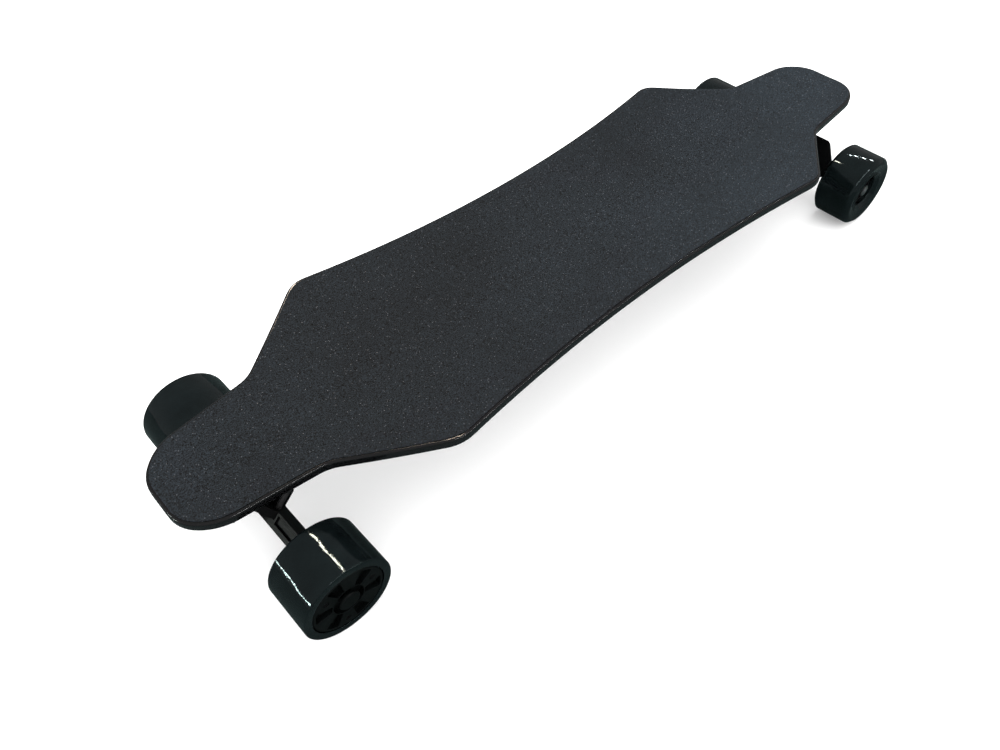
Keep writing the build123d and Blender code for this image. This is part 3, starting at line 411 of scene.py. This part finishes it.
FINISHES: dict[Slot, object] = {
    Slot.DECK: LacquerFinish(),
    Slot.GRIP: GripFinish(),
    Slot.URETHANE: UrethaneFinish(),
    Slot.STEEL: Finish("zinc plated steel", (0.32, 0.32, 0.33), (0.50, 0.50, 0.51), (0.22, 0.42),
                       metallic=1.0),
    Slot.RUBBER: Finish("matte rubber", (0.007, 0.007, 0.0074), (0.013, 0.013, 0.0135), (0.6, 0.8), bump=0.3),
    Slot.CAST: Finish("satin black coat", (0.0014, 0.0015, 0.0017), (0.0032, 0.0034, 0.0038), (0.30, 0.42),
                      grain=1500.0, bump=0.25, height=0.00006, soft_edge=0.0009, specular=0.14),
    Slot.BUSHING: Finish("bushing urethane", (0.009, 0.009, 0.0095), (0.017, 0.017, 0.018), (0.3, 0.5)),
    Slot.PLASTIC: Finish("fine textured plastic", (0.008, 0.008, 0.0085), (0.014, 0.014, 0.0145),
                         (0.45, 0.62), grain=2600.0, bump=0.35, height=0.0001, soft_edge=0.0006),
    Slot.CELL: Finish("shrink wrap", (0.04, 0.10, 0.18), (0.07, 0.15, 0.25), (0.25, 0.4)),
    Slot.BOARD: Finish("solder mask", (0.01, 0.05, 0.025), (0.02, 0.10, 0.05), (0.3, 0.5)),
    Slot.SINK: Finish("black anodised alloy", (0.05, 0.05, 0.053), (0.08, 0.08, 0.083), (0.3, 0.45),
                      metallic=0.9, stretch=(0.05, 1.0, 1.0)),
    Slot.LENS: Finish("frosted lens", (0.62, 0.65, 0.68), (0.75, 0.78, 0.8), (0.2, 0.35)),
    Slot.CABLE: Finish("soft cable sheath", (0.012, 0.012, 0.012), (0.022, 0.022, 0.023), (0.4, 0.6)),
    Slot.LAMINATION: Finish("stacked sheets", (0.2, 0.2, 0.21), (0.3, 0.3, 0.31), (0.3, 0.5), metallic=0.9,
                            grain=1500.0, stretch=(0.05, 1.0, 0.05)),
    Slot.COPPER: Finish("enamelled copper", (0.42, 0.17, 0.08), (0.6, 0.27, 0.13), (0.2, 0.35), metallic=0.9),
    Slot.CORE: Finish("glass filled nylon", (0.003, 0.003, 0.0032), (0.006, 0.006, 0.0064), (0.35, 0.55)),
    Slot.MOTOR: Finish("anodised motor can", (0.03, 0.03, 0.032), (0.05, 0.05, 0.053), (0.25, 0.4),
                       metallic=0.8),
    Slot.COVER: Finish("satin dark cover", (0.0008, 0.0016, 0.0016), (0.0018, 0.0030, 0.0030), (0.34, 0.5),
                       grain=1400.0, bump=0.2, height=0.00005, soft_edge=0.0003, specular=0.2),
}


# ---------------------------------------------------------------- mesh helpers
class Smith:
    """Makes meshes and puts them on their bodies."""

    def __init__(self) -> None:
        """Build every finish once."""
        self.materials = {slot: finish.build() for slot, finish in FINISHES.items()}
        smooth = UrethaneFinish("smooth urethane", rough=(0.03, 0.06), wave_height=0.0002)
        self.smooth_urethane = smooth.build()

    def mesh(self, name: str, verts: np.ndarray, faces: Sequence[Sequence[int]], slot: Slot,
             angle: float) -> bpy.types.Object:
        """Make one object from vertices in millimetres.

        Args:
            name: Name of the piece.
            verts: Vertices, in millimetres.
            faces: Faces as vertex numbers.
            slot: Its material slot.
            angle: Edges sharper than this stay sharp, in degrees.

        Returns:
            The object.
        """
        data = bpy.data.meshes.new(name)
        data.from_pydata((np.asarray(verts) * MM).tolist(), [], [list(f) for f in faces])
        data.validate()
        obj = bpy.data.objects.new(name, data)
        bpy.context.scene.collection.objects.link(obj)
        data.materials.append(self.materials[slot])
        self.tidy(obj, angle)
        return obj

    def tidy(self, obj: bpy.types.Object, angle: float) -> None:
        """Weld seams, turn normals outward and set sharp edges.

        Args:
            obj: The object.
            angle: Edges sharper than this stay sharp, in degrees.
        """
        work = bmesh.new()
        work.from_mesh(obj.data)
        bmesh.ops.remove_doubles(work, verts=work.verts, dist=WELD)
        bmesh.ops.dissolve_degenerate(work, edges=work.edges, dist=TINY)
        bmesh.ops.recalc_face_normals(work, faces=work.faces)
        work.to_mesh(obj.data)
        work.free()
        obj.data.shade_smooth()
        obj.data.set_sharp_from_angle(angle=math.radians(angle))

    def finish(self, obj: bpy.types.Object, slot: Slot, body: str, *nodes: str) -> bpy.types.Object:
        """Attach a piece to its body and hide the CAD nodes it replaces.

        Args:
            obj: The piece.
            slot: Its material slot; not used.
            body: CAD body it moves with.
            nodes: CAD nodes it replaces.

        Returns:
            The piece.
        """
        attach(obj, body)
        if nodes:
            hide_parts(*nodes)
        obj.data.calc_loop_triangles()
        log.info("%s: %d triangles on %s", obj.name, len(obj.data.loop_triangles), body)
        return obj


def rounded(points: Sequence[Point3], steps: int, closed: bool = True) -> list[Point2]:
    """Round the corners of a polygon.

    Args:
        points: (a, b, corner radius) in order.
        steps: Points per rounded corner.
        closed: Whether the last corner joins the first.

    Returns:
        The rounded outline.
    """
    out: list[Point2] = []
    count = len(points)
    for i, (a, b, radius) in enumerate(points):
        if radius <= 0 or (not closed and i in (0, count - 1)):
            out.append((a, b))
            continue
        here = np.array((a, b))
        before = np.array(points[i - 1][:2]) - here
        after = np.array(points[(i + 1) % count][:2]) - here
        u = before / np.linalg.norm(before)
        w = after / np.linalg.norm(after)
        half = math.acos(max(-1.0, min(1.0, float(u @ w)))) / 2
        reach = radius / math.tan(half)
        middle = here + (u + w) / np.linalg.norm(u + w) * radius / math.sin(half)
        start = here + u * reach - middle
        stop = here + w * reach - middle
        turn = math.atan2(start[0] * stop[1] - start[1] * stop[0], float(start @ stop))
        for k in range(steps + 1):
            t = turn * k / steps
            c, s = math.cos(t), math.sin(t)
            out.append((middle[0] + c * start[0] - s * start[1], middle[1] + s * start[0] + c * start[1]))
    return out


def ring_faces(rings: int, points: int) -> list[list[int]]:
    """Quads between stacked closed rings.

    Args:
        rings: Number of rings.
        points: Points per ring.

    Returns:
        The faces.
    """
    faces = []
    for i in range(rings - 1):
        for k in range(points):
            m = (k + 1) % points
            faces.append([i * points + k, i * points + m, (i + 1) * points + m, (i + 1) * points + k])
    return faces


def lathe(points: Sequence[Point2], x: float, z: float, side: int) -> tuple[np.ndarray, list[list[int]]]:
    """Turn a closed (distance outboard, radius) profile about an axle.

    Args:
        points: Profile points in millimetres.
        x: Axle position along X.
        z: Axle height.
        side: 1 for left, -1 for right.

    Returns:
        Vertices and faces.
    """
    verts = []
    for y, r in points:
        for k in range(LATHE_STEPS):
            t = math.tau * k / LATHE_STEPS
            verts.append((x + r * math.cos(t), side * y, z + r * math.sin(t)))
    faces = ring_faces(len(points), LATHE_STEPS)
    last = (len(points) - 1) * LATHE_STEPS
    for k in range(LATHE_STEPS):
        m = (k + 1) % LATHE_STEPS
        faces.append([last + k, last + m, m, k])
    return np.array(verts), faces


def centre_of(node: str) -> Vector:
    """Middle of a CAD node's box, in millimetres.

    Args:
        node: The node's name.

    Returns:
        The middle.
    """
    low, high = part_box(node)
    return (low + high) / 2 / MM


# ---------------------------------------------------------------- geometry nodes
class Tree:
    """A geometry node tree with named inputs."""

    def __init__(self, name: str) -> None:
        """Start the tree.

        Args:
            name: Name of the tree.
        """
        self.group = bpy.data.node_groups.new(name, "GeometryNodeTree")
        self.group.interface.new_socket("Geometry", in_out="INPUT", socket_type="NodeSocketGeometry")
        self.group.interface.new_socket("Geometry", in_out="OUTPUT", socket_type="NodeSocketGeometry")
        self.keys: dict[str, str] = {}
        self.start = self.group.nodes.new("NodeGroupInput")

    def value(self, name: str, kind: str) -> None:
        """Declare a named input.

        Args:
            name: Name of the input.
            kind: Socket type.
        """
        made = self.group.interface.new_socket(name, in_out="INPUT", socket_type=kind)
        self.keys[name] = made.identifier

    def add(self, kind: str, inputs: dict[str, object] | None = None, **values: object) -> bpy.types.Node:
        """Add a node and link or set its inputs.

        Args:
            kind: Node type.
            inputs: Sockets to link, or numbers to set, by input name.
            values: Node properties.

        Returns:
            The node.
        """
        node = self.group.nodes.new(kind)
        for key, value in values.items():
            setattr(node, key, value)
        for key, value in (inputs or {}).items():
            if isinstance(value, Socket):
                self.group.links.new(value, node.inputs[key])
            else:
                node.inputs[key].default_value = value
        return node

    def close(self, geometry: Socket) -> None:
        """Realise the instances, set the material and end the tree.

        Args:
            geometry: The finished geometry.
        """
        real = self.add("GeometryNodeRealizeInstances", {"Geometry": geometry})
        paint = self.add("GeometryNodeSetMaterial", {"Geometry": real.outputs[0],
                                                     "Material": self.start.outputs["Material"]})
        end = self.group.nodes.new("NodeGroupOutput")
        self.group.links.new(paint.outputs[0], end.inputs[0])

    def run(self, obj: bpy.types.Object, values: dict[str, object], name: str) -> bpy.types.Object:
        """Run the tree on an object and keep the result as a plain mesh.

        Args:
            obj: Object that carries the input geometry; it is removed.
            values: Input values by name.
            name: Name of the result.

        Returns:
            The new object.
        """
        modifier = obj.modifiers.new(name, "NODES")
        modifier.node_group = self.group
        for key, value in values.items():
            modifier[self.keys[key]] = value
        obj.update_tag()
        graph = bpy.context.evaluated_depsgraph_get()
        graph.update()
        data = bpy.data.meshes.new_from_object(obj.evaluated_get(graph))
        bpy.data.objects.remove(obj)
        data.name = name
        made = bpy.data.objects.new(name, data)
        bpy.context.scene.collection.objects.link(made)
        return made


class PathSweep(Tree):
    """Round section swept along a line of points."""

    def __init__(self) -> None:
        """Build the tree."""
        super().__init__("path sweep")
        self.value("Radius", "NodeSocketFloat")
        self.value("Sides", "NodeSocketInt")
        self.value("Material", "NodeSocketMaterial")
        curve = self.add("GeometryNodeMeshToCurve", {"Mesh": self.start.outputs["Geometry"]})
        ring = self.add("GeometryNodeCurvePrimitiveCircle", {"Resolution": self.start.outputs["Sides"],
                                                            "Radius": self.start.outputs["Radius"]})
        tube = self.add("GeometryNodeCurveToMesh", {"Curve": curve.outputs[0],
                                                    "Profile Curve": ring.outputs[0], "Fill Caps": True})
        self.close(tube.outputs[0])


# ---------------------------------------------------------------- deck
@dataclass
class DeckBoard:
    """Deck with a waist, shoulders, necked-in ends and a concave face."""

    half_length: float = 486.5
    corners: tuple[Point3, ...] = (
        (266.0, 132.4, 34.0), (361.5, 65.4, 36.0), (461.4, 54.2, 52.0), (486.5, 29.6, 37.0))
    waist: float = 111.3
    concave: float = 500.9
    arc_z: float = 620.5
    thick: float = 11.5
    top_round: float = 2.6
    low_round: float = 4.0
    spine_end: float = 60.0
    spacing: float = 4.0
    rings: int = 12
    rim_steps: int = 6
    waist_steps: int = 20

    def outline(self) -> np.ndarray:
        """Closed plan outline, the same on both sides of the middle line.

        Returns:
            Points, counterclockwise, starting at the nose.
        """
        shoulder = self.corners[0]
        rise = shoulder[1] - self.waist
        bend = (rise * rise + shoulder[0] ** 2) / (2 * rise)
        half = [(self.half_length, 0.0, 0.0)]
        half += [(x, y, r) for x, y, r in reversed(self.corners)]
        for step in range(1, 2 * self.waist_steps):
            x = shoulder[0] * (1 - step / self.waist_steps)
            half.append((x, self.waist + bend - math.sqrt(bend * bend - x * x), 0.0))
        half += [(-x, y, r) for x, y, r in self.corners]
        half.append((-self.half_length, 0.0, 0.0))
        line = np.array(rounded(half, closed=False, steps=12))
        steps = np.r_[0.0, np.cumsum(np.linalg.norm(np.diff(line, axis=0), axis=1))]
        count = int(steps[-1] / self.spacing)
        at = np.linspace(0, steps[-1], count + 1)
        top = np.c_[np.interp(at, steps, line[:, 0]), np.interp(at, steps, line[:, 1])]
        low = top[1:-1][::-1] * (1, -1)
        return np.vstack((top, low))

    def inset(self, line: np.ndarray, amount: float) -> np.ndarray:
        """Outline moved inward along its normals.

        Args:
            line: The outline.
            amount: Distance inward.

        Returns:
            The moved outline.
        """
        along = np.roll(line, -1, axis=0) - np.roll(line, 1, axis=0)
        along /= np.linalg.norm(along, axis=1)[:, None]
        return line + np.c_[-along[:, 1], along[:, 0]] * amount

    def height(self, y: np.ndarray, depth: float) -> np.ndarray:
        """Height of the concave surface at a depth under the wood's face.

        Args:
            y: Distances from the middle line.
            depth: Depth under the face.

        Returns:
            Heights.
        """
        return self.arc_z - np.sqrt((self.concave + depth) ** 2 - y * y)

    def face_rows(self, line: np.ndarray, rim: float) -> list[np.ndarray]:
        """Rings of a face, from its middle line out to where its rounded rim starts.

        Args:
            line: The outline.
            rim: Radius of the rim.

        Returns:
            The rings.
        """
        spine_x = self.half_length - self.spine_end
        edge = self.inset(line, rim)
        spine = np.c_[np.clip(edge[:, 0], -spine_x, spine_x), np.zeros(len(edge))]
        return [spine + (edge - spine) * (k / self.rings) for k in range(self.rings + 1)]

    def shell(self, start: float, depth: float, thick: float, top_round: float,
              low_round: float) -> tuple[np.ndarray, list]:
        """Closed plate between two concave surfaces with rounded rims.

        Args:
            start: Inset of the plate from the deck's outline.
            depth: Depth of the plate's face under the wood's face.
            thick: Thickness of the plate.
            top_round: Radius of the upper rim.
            low_round: Radius of the lower rim.

        Returns:
            Vertices and faces.
        """
        line = self.inset(self.outline(), start) if start else self.outline()
        rows = [(row, depth) for row in self.face_rows(line, top_round)]
        quarter = [math.radians(90 / self.rim_steps * k) for k in range(self.rim_steps + 1)]
        for turn in quarter[1:]:
            down = depth + top_round * (1 - math.cos(turn))
            rows.append((self.inset(line, top_round * (1 - math.sin(turn))), down))
        for turn in reversed(quarter):
            down = depth + thick - low_round * (1 - math.cos(turn))
            rows.append((self.inset(line, low_round * (1 - math.sin(turn))), down))
        rows += [(row, depth + thick) for row in self.face_rows(line, low_round)[-2::-1]]
        verts = np.vstack([np.c_[row, self.height(row[:, 1], down)] for row, down in rows])
        return verts, ring_faces(len(rows), len(line))

    def build(self, smith: Smith) -> None:
        """Make the wooden deck.

        Args:
            smith: Mesh maker.
        """
        verts, faces = self.shell(0.0, 0.0, self.thick, self.top_round, self.low_round)
        board = smith.mesh("deck_board", verts, faces, Slot.DECK, RIM_ANGLE)
        smith.finish(board, Slot.DECK, "deck_body", "deck")


@dataclass
class GripTape(DeckBoard):
    """Grit sheet stuck on the deck a little inside its edge."""

    edge: float = 3.2
    sheet: float = 0.9
    sheet_top_round: float = 0.35
    sheet_low_round: float = 0.1

    def build(self, smith: Smith) -> None:
        """Make the grit sheet.

        Args:
            smith: Mesh maker.
        """
        verts, faces = self.shell(self.edge, -self.sheet, self.sheet, self.sheet_top_round,
                                  self.sheet_low_round)
        sheet = smith.mesh("grit_sheet", verts, faces, Slot.GRIP, RIM_ANGLE)
        smith.finish(sheet, Slot.GRIP, "deck_body", "grip_tape")


# ---------------------------------------------------------------- wheels
@dataclass
class FrontWheel:
    """Cast urethane tyre for a ribbed core, which is not built here."""

    side: int
    name: str
    face: float = 137.2
    width: float = 50.4
    radius: float = 45.0
    bore: float = 20.0

    @property
    def body(self) -> str:
        """Body the wheel turns with."""
        return f"front_{self.name}_wheel"

    def build(self, smith: Smith) -> None:
        """Make the tyre.

        Args:
            smith: Mesh maker.
        """
        middle = centre_of(f"front_{self.name}_tyre")
        inner = self.face - self.width
        profile = rounded([
            (inner, self.bore + 3.0, 1.0), (inner, self.radius - 5.0, 2.5), (inner + 4.0, self.radius, 2.5),
            (self.face - 5.2, self.radius, 4.2), (self.face, self.radius - 5.4, 4.0),
            (self.face - 2.6, self.bore + 8.4, 1.5), (self.face - 1.5, self.bore + 6.0, 1.0),
            (self.face - 3.6, self.bore + 3.4, 1.4), (self.face - 6.0, self.bore, 1.0),
            (inner + 2.0, self.bore, 0.6)], steps=7)
        verts, faces = lathe(profile, middle.x, middle.z, self.side)
        tyre = smith.mesh(f"front_{self.name}_cast_tyre", verts, faces, Slot.URETHANE, TURNED_ANGLE)
        tyre.data.materials[0] = smith.smooth_urethane
        smith.finish(tyre, Slot.URETHANE, self.body, f"front_{self.name}_tyre")


@dataclass
class HubWheel:
    """Urethane sleeve of a hub motor."""

    side: int
    name: str
    face: float = 141.4
    width: float = 56.4
    radius: float = 45.0
    wall: float = 8.0

    @property
    def body(self) -> str:
        """Body the wheel turns with."""
        return f"rear_{self.name}_wheel"

    def build(self, smith: Smith) -> None:
        """Make the sleeve.

        Args:
            smith: Mesh maker.
        """
        middle = centre_of(f"rear_{self.name}_tyre")
        inner = self.face - self.width
        low = self.radius - self.wall
        profile = rounded([(inner, low, 0.0), (inner, self.radius, 1.6), (self.face, self.radius, 1.1),
                           (self.face, low, 0.3)], steps=6)
        verts, faces = lathe(profile, middle.x, middle.z, self.side)
        sleeve = smith.mesh(f"rear_{self.name}_sleeve", verts, faces, Slot.URETHANE, TURNED_ANGLE)
        smith.finish(sleeve, Slot.URETHANE, self.body, f"rear_{self.name}_tyre")


# ---------------------------------------------------------------- trucks
@dataclass
class BushingPair:
    """Two soft bushings on one kingpin, pressed between the hanger's ring and its washers."""

    end: int
    axle_x: float = 407.7
    axle_z: float = 45.0
    rake: float = 4.2
    ring_at: float = 28.3
    ring_half: float = 4.5
    upper: float = 15.0
    lower: float = 13.0
    radius: float = 12.5
    bore: float = 6.2
    lip: float = 1.4
    waist: float = 0.9
    plain_end: float = 0.08
    levels: int = 10
    bore_levels: int = 6
    segments: int = 64

    @property
    def name(self) -> str:
        """Front or rear."""
        return "front" if self.end > 0 else "rear"

    def point(self, t: float, radius: float = 0.0, turn: float = 0.0) -> Vector:
        """Point near the kingpin.

        Args:
            t: Distance up the kingpin from the ring's middle.
            radius: Distance from the kingpin's line.
            turn: Angle round it, in radians.

        Returns:
            The point, in millimetres.
        """
        up = Vector((-self.end * math.sqrt(0.5), 0.0, math.sqrt(0.5)))
        out = Vector((self.end * math.sqrt(0.5), 0.0, math.sqrt(0.5)))
        base = Vector((self.end * self.axle_x, 0.0, self.axle_z))
        middle = base + out * self.ring_at + up * (t + self.rake)
        return middle + out * (radius * math.cos(turn)) + Vector((0.0, radius * math.sin(turn), 0.0))

    def soft(self, smith: Smith, label: str, near: float, far: float) -> bpy.types.Object:
        """Make one bushing between the ring's face and a washer.

        Args:
            smith: Mesh maker.
            label: Name of the bushing.
            near: Height of the end on the ring.
            far: Height of the end on the washer.

        Returns:
            The bushing.
        """
        length = far - near
        rows: list[Point2] = [(near, self.bore), (near, self.radius - self.lip)]
        for k in range(self.levels + 1):
            share = k / self.levels
            along = near + length * (self.plain_end + (1 - 2 * self.plain_end) * share)
            rows.append((along, self.radius - self.waist * math.sin(math.pi * share)))
        rows += [(far, self.radius - self.lip), (far, self.bore)]
        rows += [(near + length * (1 - k / self.bore_levels), self.bore) for k in range(1, self.bore_levels)]
        turns = [math.tau * k / self.segments for k in range(self.segments)]
        verts = [self.point(t, r, turn) for t, r in rows for turn in turns]
        faces = ring_faces(len(rows), self.segments)
        last = (len(rows) - 1) * self.segments
        for k in range(self.segments):
            m = (k + 1) % self.segments
            faces.append([last + k, last + m, m, k])
        piece = smith.mesh(label, np.array(verts), faces, Slot.BUSHING, TURNED_ANGLE)
        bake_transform(piece)
        return piece

    def build(self, smith: Smith) -> None:
        """Make both bushings of the truck.

        Args:
            smith: Mesh maker.
        """
        upper = self.soft(smith, f"{self.name}_upper_bushing", self.ring_half, self.ring_half + self.upper)
        self.soft(smith, f"{self.name}_lower_bushing", -self.ring_half, -self.ring_half - self.lower)
        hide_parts(f"{self.name}_bushings")


@dataclass
class MotorCable:
    """Limp cable from the rear hanger up to the controller case."""

    side: int
    radius: float = 2.75
    axle: Point2 = (-407.7, 45.0)
    rise: float = 3.0
    duct: float = 5.0
    mouth: float = 34.2
    exit_y: float = 27.0
    drift: float = 3.5
    gland_y: float = 34.0
    wall_z: float = 91.6
    lift: float = 2.5
    case_end: float = -233.0
    shares: Point2 = (0.36, 0.7)
    bends: Point3 = (65.0, 104.0, 498.0)
    bend_steps: int = 12
    sides: int = 20
    free_share: float = 0.25
    held: Point3 = (-258.0, 33.0, 92.0)

    def over_nose(self, forward: float) -> Vector:
        """Point over the hanger's nose, which points forward and up at 45 degrees.

        Args:
            forward: Distance from the axle along the nose.

        Returns:
            The point, in millimetres.
        """
        half = math.sqrt(0.5)
        return Vector((self.axle[0] - half * (self.rise - forward), self.side * self.exit_y,
                       self.axle[1] + half * (self.rise + forward)))

    def path(self) -> list[Vector]:
        """The cable's middle line, with a round bend at each corner.

        Returns:
            Points from the duct to the case.
        """
        mouth = self.over_nose(self.mouth)
        span = self.case_end - mouth.x
        near, far = self.shares
        corners = [
            self.over_nose(self.duct), mouth,
            Vector((mouth.x + span * near, self.side * (self.exit_y + self.drift), self.wall_z + self.lift)),
            Vector((mouth.x + span * far, self.side * self.gland_y, self.wall_z)),
            Vector((self.case_end, self.side * self.gland_y, self.wall_z))]
        line = [corners[0]]
        for before, here, after, radius in zip(corners, corners[1:], corners[2:], self.bends):
            a = (before - here).normalized()
            b = (after - here).normalized()
            half_angle = a.angle(b) / 2
            reach = radius / math.tan(half_angle)
            middle = here + (a + b).normalized() * radius / math.sin(half_angle)
            start = (here + a * reach - middle).normalized()
            stop = (here + b * reach - middle).normalized()
            for k in range(self.bend_steps + 1):
                line.append(middle + start.slerp(stop, k / self.bend_steps) * radius)
        return line + [corners[-1]]

    def build(self, smith: Smith, sweep: PathSweep) -> bpy.types.Object:
        """Make the cable.

        Args:
            smith: Mesh maker.
            sweep: Path sweep tree.

        Returns:
            The cable.
        """
        line = self.path()
        data = bpy.data.meshes.new("cable line")
        data.from_pydata([p * MM for p in line], [(i, i + 1) for i in range(len(line) - 1)], [])
        carrier = bpy.data.objects.new("cable line", data)
        bpy.context.scene.collection.objects.link(carrier)
        name = "left_motor_cable" if self.side > 0 else "right_motor_cable"
        cable = sweep.run(carrier, {"Radius": self.radius * MM, "Sides": self.sides,
                                    "Material": smith.materials[Slot.CABLE]}, name)
        smith.tidy(cable, RIM_ANGLE)
        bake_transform(cable)
        log.info("%s: %d faces, bends from the hanger to the case", cable.name, len(cable.data.polygons))
        return cable


# ---------------------------------------------------------------- scene
REAR_WHEEL = (-0.4077, -0.11, 0.045)
FRONT_WHEEL = (0.4077, -0.11, 0.045)
MIDDLE = (0.0, 0.0, 0.06)
PLAIN = (1.0, 1.0, 1.0)
WARM = (1.0, 0.82, 0.66)
COOL = (0.90, 1.0, 0.93)


@dataclass(frozen=True)
class Lamp:
    """Area light, in metres and watts. A fill lights the scene; the others only show as highlights."""

    name: str
    size: Point2
    at: Point3
    target: Point3
    power: float
    tint: Point3 = PLAIN
    fill: bool = False

    def build(self) -> bpy.types.Object:
        """Add the light, with its height along the board's width.

        Returns:
            The light.
        """
        data = bpy.data.lights.new(self.name, "AREA")
        data.shape = "RECTANGLE"
        data.size, data.size_y = self.size
        data.energy = self.power
        data.color = self.tint
        obj = bpy.data.objects.new(self.name, data)
        back = (Vector(self.at) - Vector(self.target)).normalized()
        across = (Vector((0.0, 1.0, 0.0)) - back * back.y).normalized()
        turn = Matrix((across.cross(back), across, back)).transposed().to_4x4()
        obj.matrix_world = Matrix.Translation(self.at) @ turn
        obj.visible_diffuse = self.fill
        obj.visible_glossy = not self.fill
        bpy.context.scene.collection.objects.link(obj)
        return obj


LAMPS = (
    Lamp("overhead", (1.6, 1.2), (0.3, 0.2, 1.9), MIDDLE, 16.0, fill=True),
    Lamp("far_strip", (0.055, 0.48), (0.07, 0.63, 1.30), REAR_WHEEL, 4.8, WARM),
    Lamp("left_strip", (0.035, 0.48), (-1.73, 0.60, 0.30), REAR_WHEEL, 2.9, COOL),
    Lamp("near_strip", (1.8, 0.03), (0.1, -1.3, 0.9), MIDDLE, 5.0),
)


@dataclass
class Studio:
    """Pale floor, soft light and the camera."""

    eye: Point3 = (-0.52364, -0.46971, 0.71415)
    aim: Point3 = (-0.15142, -0.05209, 0.06)
    roll: float = -0.947
    lens: float = 30.25
    sensor: float = 36.0
    floor_half: float = 9.0
    floor_tints: tuple[Point3, Point3] = ((0.86, 0.86, 0.86), (0.88, 0.88, 0.88))
    mirrored_floor: Point3 = (0.038, 0.052, 0.051)
    floor_glow: float = 0.16
    sky: float = 2.1
    mirrored_sky: float = 0.24
    row: tuple[Point3, Point3] = ((1.10, 0.400, 1.33), (1.51, 0.272, 1.026))
    row_count: int = 4
    row_size: Point2 = (0.045, 0.013)
    row_power: float = 0.28

    def floor_finish(self) -> bpy.types.Material:
        """Pale floor that mirrors dark, lifts a little to the eye and is clear from below.

        Returns:
            The material.
        """
        n = Nodes("pale floor")
        path = n.add("ShaderNodeLightPath")
        side = n.add("ShaderNodeNewGeometry")
        pale = n.mix(n.noise(3.0), *self.floor_tints)
        n.dress(Base_Color=n.mix(path.outputs["Is Glossy Ray"], pale, self.mirrored_floor),
                Roughness=0.9, Specular_IOR_Level=0.1, Emission_Color=PLAIN,
                Emission_Strength=n.ramp(path.outputs["Is Camera Ray"], 0.0, 1.0, 0.0, self.floor_glow),
                Alpha=n.ramp(side.outputs["Backfacing"], 0.0, 1.0, 1.0, 0.0))
        return n.material

    def floor(self) -> None:
        """Make the floor."""
        data = bpy.data.meshes.new("floor")
        half = self.floor_half
        data.from_pydata([(-half, -half, 0), (half, -half, 0), (half, half, 0), (-half, half, 0)], [],
                         [(0, 1, 2, 3)])
        data.materials.append(self.floor_finish())
        floor = bpy.data.objects.new("floor", data)
        bpy.context.scene.collection.objects.link(floor)

    def light(self) -> None:
        """Light the scene with an even sky and the lamps."""
        world = bpy.data.worlds.new("studio")
        world.use_nodes = True
        nodes, links = world.node_tree.nodes, world.node_tree.links
        back = nodes["Background"]
        back.inputs["Color"].default_value = (*PLAIN, 1.0)
        ray = nodes.new("ShaderNodeLightPath")
        level = nodes.new("ShaderNodeMapRange")
        level.inputs["To Min"].default_value = self.sky
        level.inputs["To Max"].default_value = self.mirrored_sky
        links.new(ray.outputs["Is Glossy Ray"], level.inputs["Value"])
        links.new(level.outputs["Result"], back.inputs["Strength"])
        bpy.context.scene.world = world
        lamps = [lamp.build() for lamp in LAMPS]
        first, last = Vector(self.row[0]), Vector(self.row[1])
        for k in range(self.row_count):
            at = tuple(first.lerp(last, k / (self.row_count - 1)))
            lamps.append(Lamp(f"row_{k}", self.row_size, at, FRONT_WHEEL, self.row_power).build())

    def camera(self) -> None:
        """Place the camera."""
        data = bpy.data.cameras.new("camera")
        data.sensor_width = self.sensor
        data.lens = self.lens
        camera = bpy.data.objects.new("camera", data)
        forward = (Vector(self.aim) - Vector(self.eye)).normalized()
        right = forward.cross(Vector((0.0, 0.0, 1.0))).normalized()
        level = Matrix((right, right.cross(forward), -forward)).transposed().to_4x4()
        tilt = Matrix.Rotation(math.radians(self.roll), 4, "Z")
        camera.matrix_world = Matrix.Translation(self.eye) @ level @ tilt
        bpy.context.scene.collection.objects.link(camera)
        bpy.context.scene.camera = camera

    def build(self) -> None:
        """Make the floor, the lights and the camera."""
        self.floor()
        self.light()
        self.camera()
        bpy.context.scene.view_settings.view_transform = "Standard"


class Skateboard:
    """The whole board."""

    def __init__(self) -> None:
        """Prepare the finishes and the node trees."""
        self.smith = Smith()
        self.sweep = PathSweep()

    def dress(self) -> None:
        """Give every carried CAD node its finish."""
        slots = {slot.value: slot for slot in Slot}
        for entry in frame["record"]["subparts"]:
            node = frame["nodes"][entry["node"]]
            node.data.materials.clear()
            node.data.materials.append(self.smith.materials[slots[entry["material_slot"]]])
        for side in ("left", "right"):
            frame["nodes"][f"rear_{side}_cover_screws"].data.materials[0] = self.smith.materials[Slot.CAST]

    def build(self) -> None:
        """Make every piece."""
        self.dress()
        DeckBoard().build(self.smith)
        GripTape().build(self.smith)
        for side, name in ((1, "left"), (-1, "right")):
            FrontWheel(side, name).build(self.smith)
            HubWheel(side, name).build(self.smith)
        for end in (1, -1):
            BushingPair(end).build(self.smith)
        cables = [MotorCable(side).build(self.smith, self.sweep) for side in (1, -1)]
        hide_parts("motor_cables")


def main() -> None:
    """Build the object and its stage."""
    Skateboard().build()
    Studio().build()
    bpy.context.view_layer.update()


if __name__ == "__main__":
    main()
